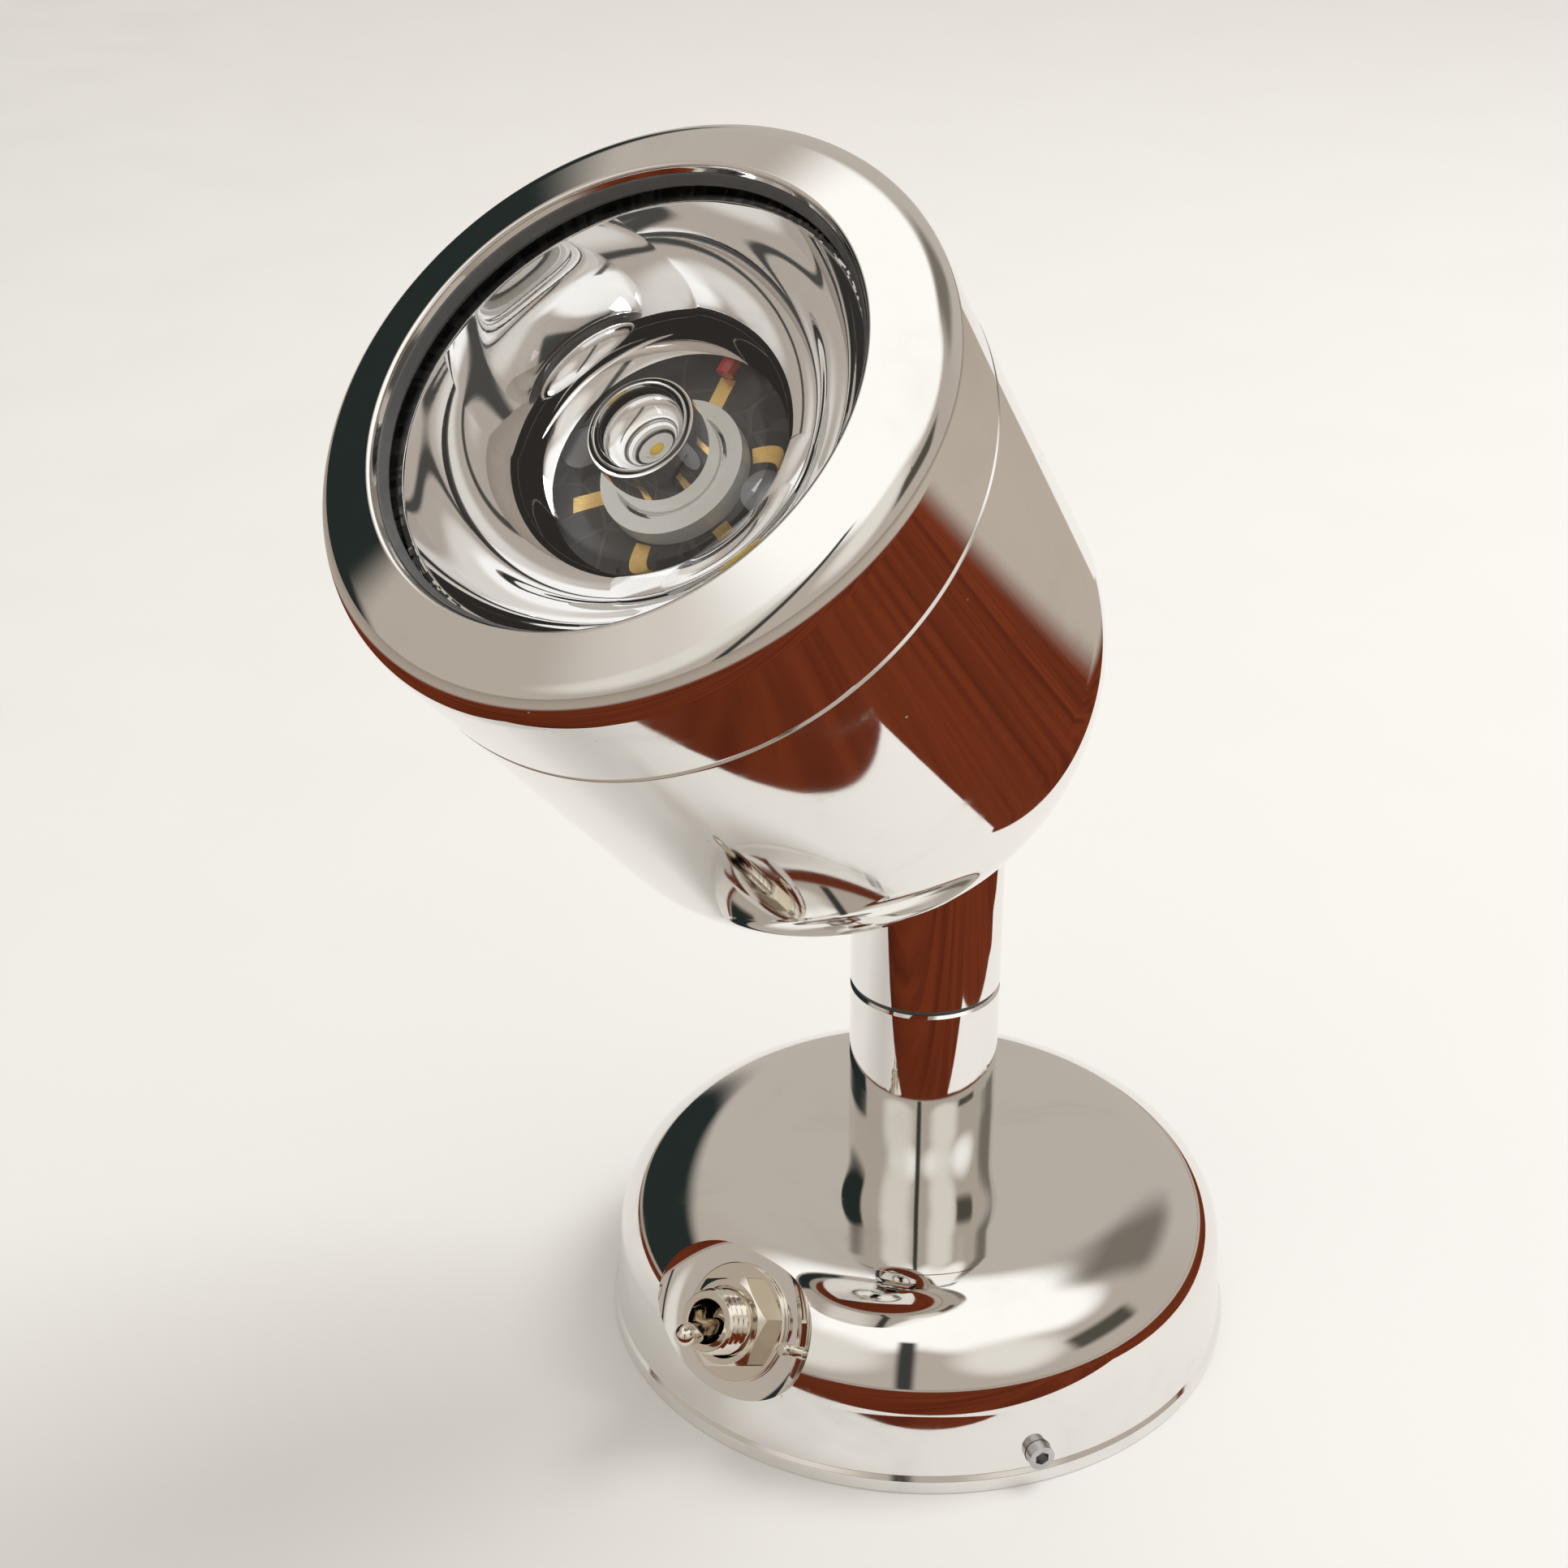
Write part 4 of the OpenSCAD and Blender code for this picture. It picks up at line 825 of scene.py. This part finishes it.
# Azimuth, elevation, reach and soft edge of the bright patches overhead, in degrees
CEILING_DISCS = ((0, 90, 31, 6), (5, 58, 17, 6), (60, 62, 19, 6), (105, 58, 17, 6))
KEY_AT = Vector((0.35, 0.42, 0.85))
KEY_SIZE = (0.45, 0.45)
KEY_WATTS = 4.0


def lay_floor():
    """A plain pale floor."""
    bpy.ops.mesh.primitive_plane_add(size=8, location=(0, 0, 0))
    floor = bpy.context.object
    floor.name = "floor"
    finish = Finish("floor_finish", PALE, 0.6)
    finish.feed("Roughness", finish.between(finish.noise(30, 3), 0.3, 0.7, 0.55, 0.65))
    floor.data.materials.append(finish.material)


def floor_point(across, up):
    """Where the picture's point falls on the floor. Both run from -1 to 1 over the frame."""
    half = SENSOR_MM / 2 / LENS_MM
    camera = bpy.context.scene.camera
    ray = camera.rotation_quaternion @ Vector((across * half, up * half, -1))
    return camera.location - ray * (camera.location.z / ray.z)


def lay_cards():
    """Cards beside the picture: warm wood close by, grey card further off, for the plating to mirror."""
    path = [floor_point(*spot) for spot in ((-1, 1), (-1, -1), (0, -1), (1, -1), (1, 1))]
    inner = [p * 1.02 + Vector((0, 0, CARD_Z)) for p in path]
    outer = [p.normalized() * CARD_REACH + Vector((0, 0, CARD_Z)) for p in path]
    mesh = bpy.data.meshes.new("side_cards")
    count = len(path)
    faces = [(i, i + 1, count + i + 1, count + i) for i in range(count - 1)]
    mesh.from_pydata(inner + outer, [], faces)
    cards = link("side_cards", mesh)
    finish = Finish("card_finish", WOOD, 0.6)
    finish.set("Specular IOR Level", 0.0)
    grain = finish.noise(1.0, 4, 0.6, place=finish.stretched(9, 90, 9), distortion=0.4)
    streaks = finish.tint(finish.between(grain, 0.35, 0.7), WOOD, WOOD_DARK)
    spot = finish.add("ShaderNodeNewGeometry").outputs["Position"]
    length = finish.add("ShaderNodeVectorMath", operation="LENGTH")
    finish.link(spot, length.inputs[0])
    far = finish.between(length.outputs["Value"], *WOOD_EDGE)
    finish.feed("Base Color", finish.tint(far, streaks, GREY_CARD))
    mesh.materials.append(finish.material)
    cards.visible_camera = False
    cards.visible_diffuse = False
    cards.visible_shadow = False


def soft_lamp(name, place, size, power, target=Vector((0, 0, 0.06))):
    """An area lamp aimed at target. The plating doesn't mirror it."""
    data = bpy.data.lights.new(name, "AREA")
    data.shape = "RECTANGLE"
    data.size, data.size_y = size
    data.energy = power
    lamp = bpy.data.objects.new(name, data)
    bpy.context.scene.collection.objects.link(lamp)
    lamp.location = place
    lamp.visible_glossy = False
    lamp.rotation_mode = "QUATERNION"
    lamp.rotation_quaternion = (target - lamp.location).to_track_quat("-Z", "Y")


def toward(azimuth, elevation):
    """A direction, where azimuth 0 is the object's front and 90 its right."""
    a, e = math.radians(azimuth), math.radians(elevation)
    return Vector((math.sin(a) * math.cos(e), -math.cos(a) * math.cos(e), math.sin(e)))


class Surround:
    """The studio's walls, ceiling and dark flags, painted by direction on the world."""

    def __init__(self, base):
        self.world = bpy.data.worlds.new("studio")
        bpy.context.scene.world = self.world
        self.world.use_nodes = True
        self.tree = self.world.node_tree
        self.way = self.add("ShaderNodeTexCoord").outputs["Generated"]
        self.paint = self.add("ShaderNodeRGB").outputs[0]
        self.paint.default_value = (*base, 1)

    def add(self, kind, **settings):
        node = self.tree.nodes.new(kind)
        for key, value in settings.items():
            setattr(node, key, value)
        return node

    def calc(self, operation, *values):
        node = self.add("ShaderNodeMath", operation=operation)
        for socket, value in zip(node.inputs, values):
            if isinstance(value, (int, float)):
                socket.default_value = value
            else:
                self.tree.links.new(value, socket)
        return node.outputs["Value"]

    def along(self, direction):
        node = self.add("ShaderNodeVectorMath", operation="DOT_PRODUCT")
        self.tree.links.new(self.way, node.inputs[0])
        node.inputs[1].default_value = direction
        return node.outputs["Value"]

    def eased(self, value, low, high, first=0.0, last=1.0):
        node = self.add("ShaderNodeMapRange", interpolation_type="SMOOTHSTEP")
        self.tree.links.new(value, node.inputs["Value"])
        for key, number in (("From Min", low), ("From Max", high), ("To Min", first), ("To Max", last)):
            node.inputs[key].default_value = number
        return node.outputs["Result"]

    def cover(self, mask, colour):
        node = self.add("ShaderNodeMix", data_type="RGBA")
        self.tree.links.new(mask, node.inputs["Factor"])
        sockets = [s for s in node.inputs if s.type == "RGBA"]
        self.tree.links.new(self.paint, sockets[0])
        sockets[1].default_value = (*colour, 1)
        self.paint = next(s for s in node.outputs if s.type == "RGBA")

    def disc(self, azimuth, elevation, reach, edge, colour):
        """A round patch of the surround, reach degrees from its middle."""
        height = self.along(toward(azimuth, elevation))
        inner, outer = math.cos(math.radians(reach - edge)), math.cos(math.radians(reach + edge))
        self.cover(self.eased(height, outer, inner), colour)

    def panel(self, azimuth, elevation, width, height, edge, colour, turn=0.0):
        """A rectangular card seen at that direction. Its sizes are degrees from its middle."""
        ahead = toward(azimuth, elevation)
        side = ahead.cross(Vector((0, 0, 1))).normalized()
        up = side.cross(ahead)
        spin = Matrix.Rotation(math.radians(turn), 3, ahead)
        depth = self.along(ahead)
        divisor = self.calc("MAXIMUM", depth, 0.01)
        mask = self.eased(depth, 0.02, 0.06)
        for axis, reach in ((spin @ side, width), (spin @ up, height)):
            offset = self.calc("ABSOLUTE", self.calc("DIVIDE", self.along(axis), divisor))
            near = math.tan(math.radians(max(reach - edge, 0.1)))
            far = math.tan(math.radians(reach + edge))
            mask = self.calc("MULTIPLY", mask, self.eased(offset, near, far, 1.0, 0.0))
        self.cover(mask, colour)

    def finish(self, strength, backdrop):
        """The camera sees a plain backdrop, and everything else the painted room."""
        direct = self.add("ShaderNodeLightPath").outputs["Is Camera Ray"]
        self.cover(direct, backdrop)
        background = self.tree.nodes["Background"]
        self.tree.links.new(self.paint, background.inputs["Color"])
        background.inputs["Strength"].default_value = strength


def light_studio():
    """A warm grey room with a bright ceiling, and dark flags that give the plating its contrast."""
    around = Surround(WALL)
    around.disc(-160, 15, 50, 14, REAR_WALL)
    for patch in CEILING_DISCS:
        around.disc(*patch, CEILING)
    around.disc(-5, 30, 18, 9, FRONT_GLOW)
    around.disc(68, 30, 16, 8, SIDE_GLOW)
    around.panel(-99, 11, 33, 25, 4, DARK_FLAG, turn=6)
    around.panel(28, 16, 3, 38, 1.6, FRONT_FLAG)
    around.panel(104, 22, 13, 7, 3, SIDE_FLAG)
    around.panel(160, 42, 14, 14, 7, REAR_FLAG, turn=-20)
    around.finish(1.0, BACKDROP)
    soft_lamp("key_lamp", KEY_AT, KEY_SIZE, KEY_WATTS)
    bpy.context.scene.view_settings.view_transform = "Standard"


aim_camera()
dress_nodes()
make_pieces()
lay_floor()
lay_cards()
light_studio()
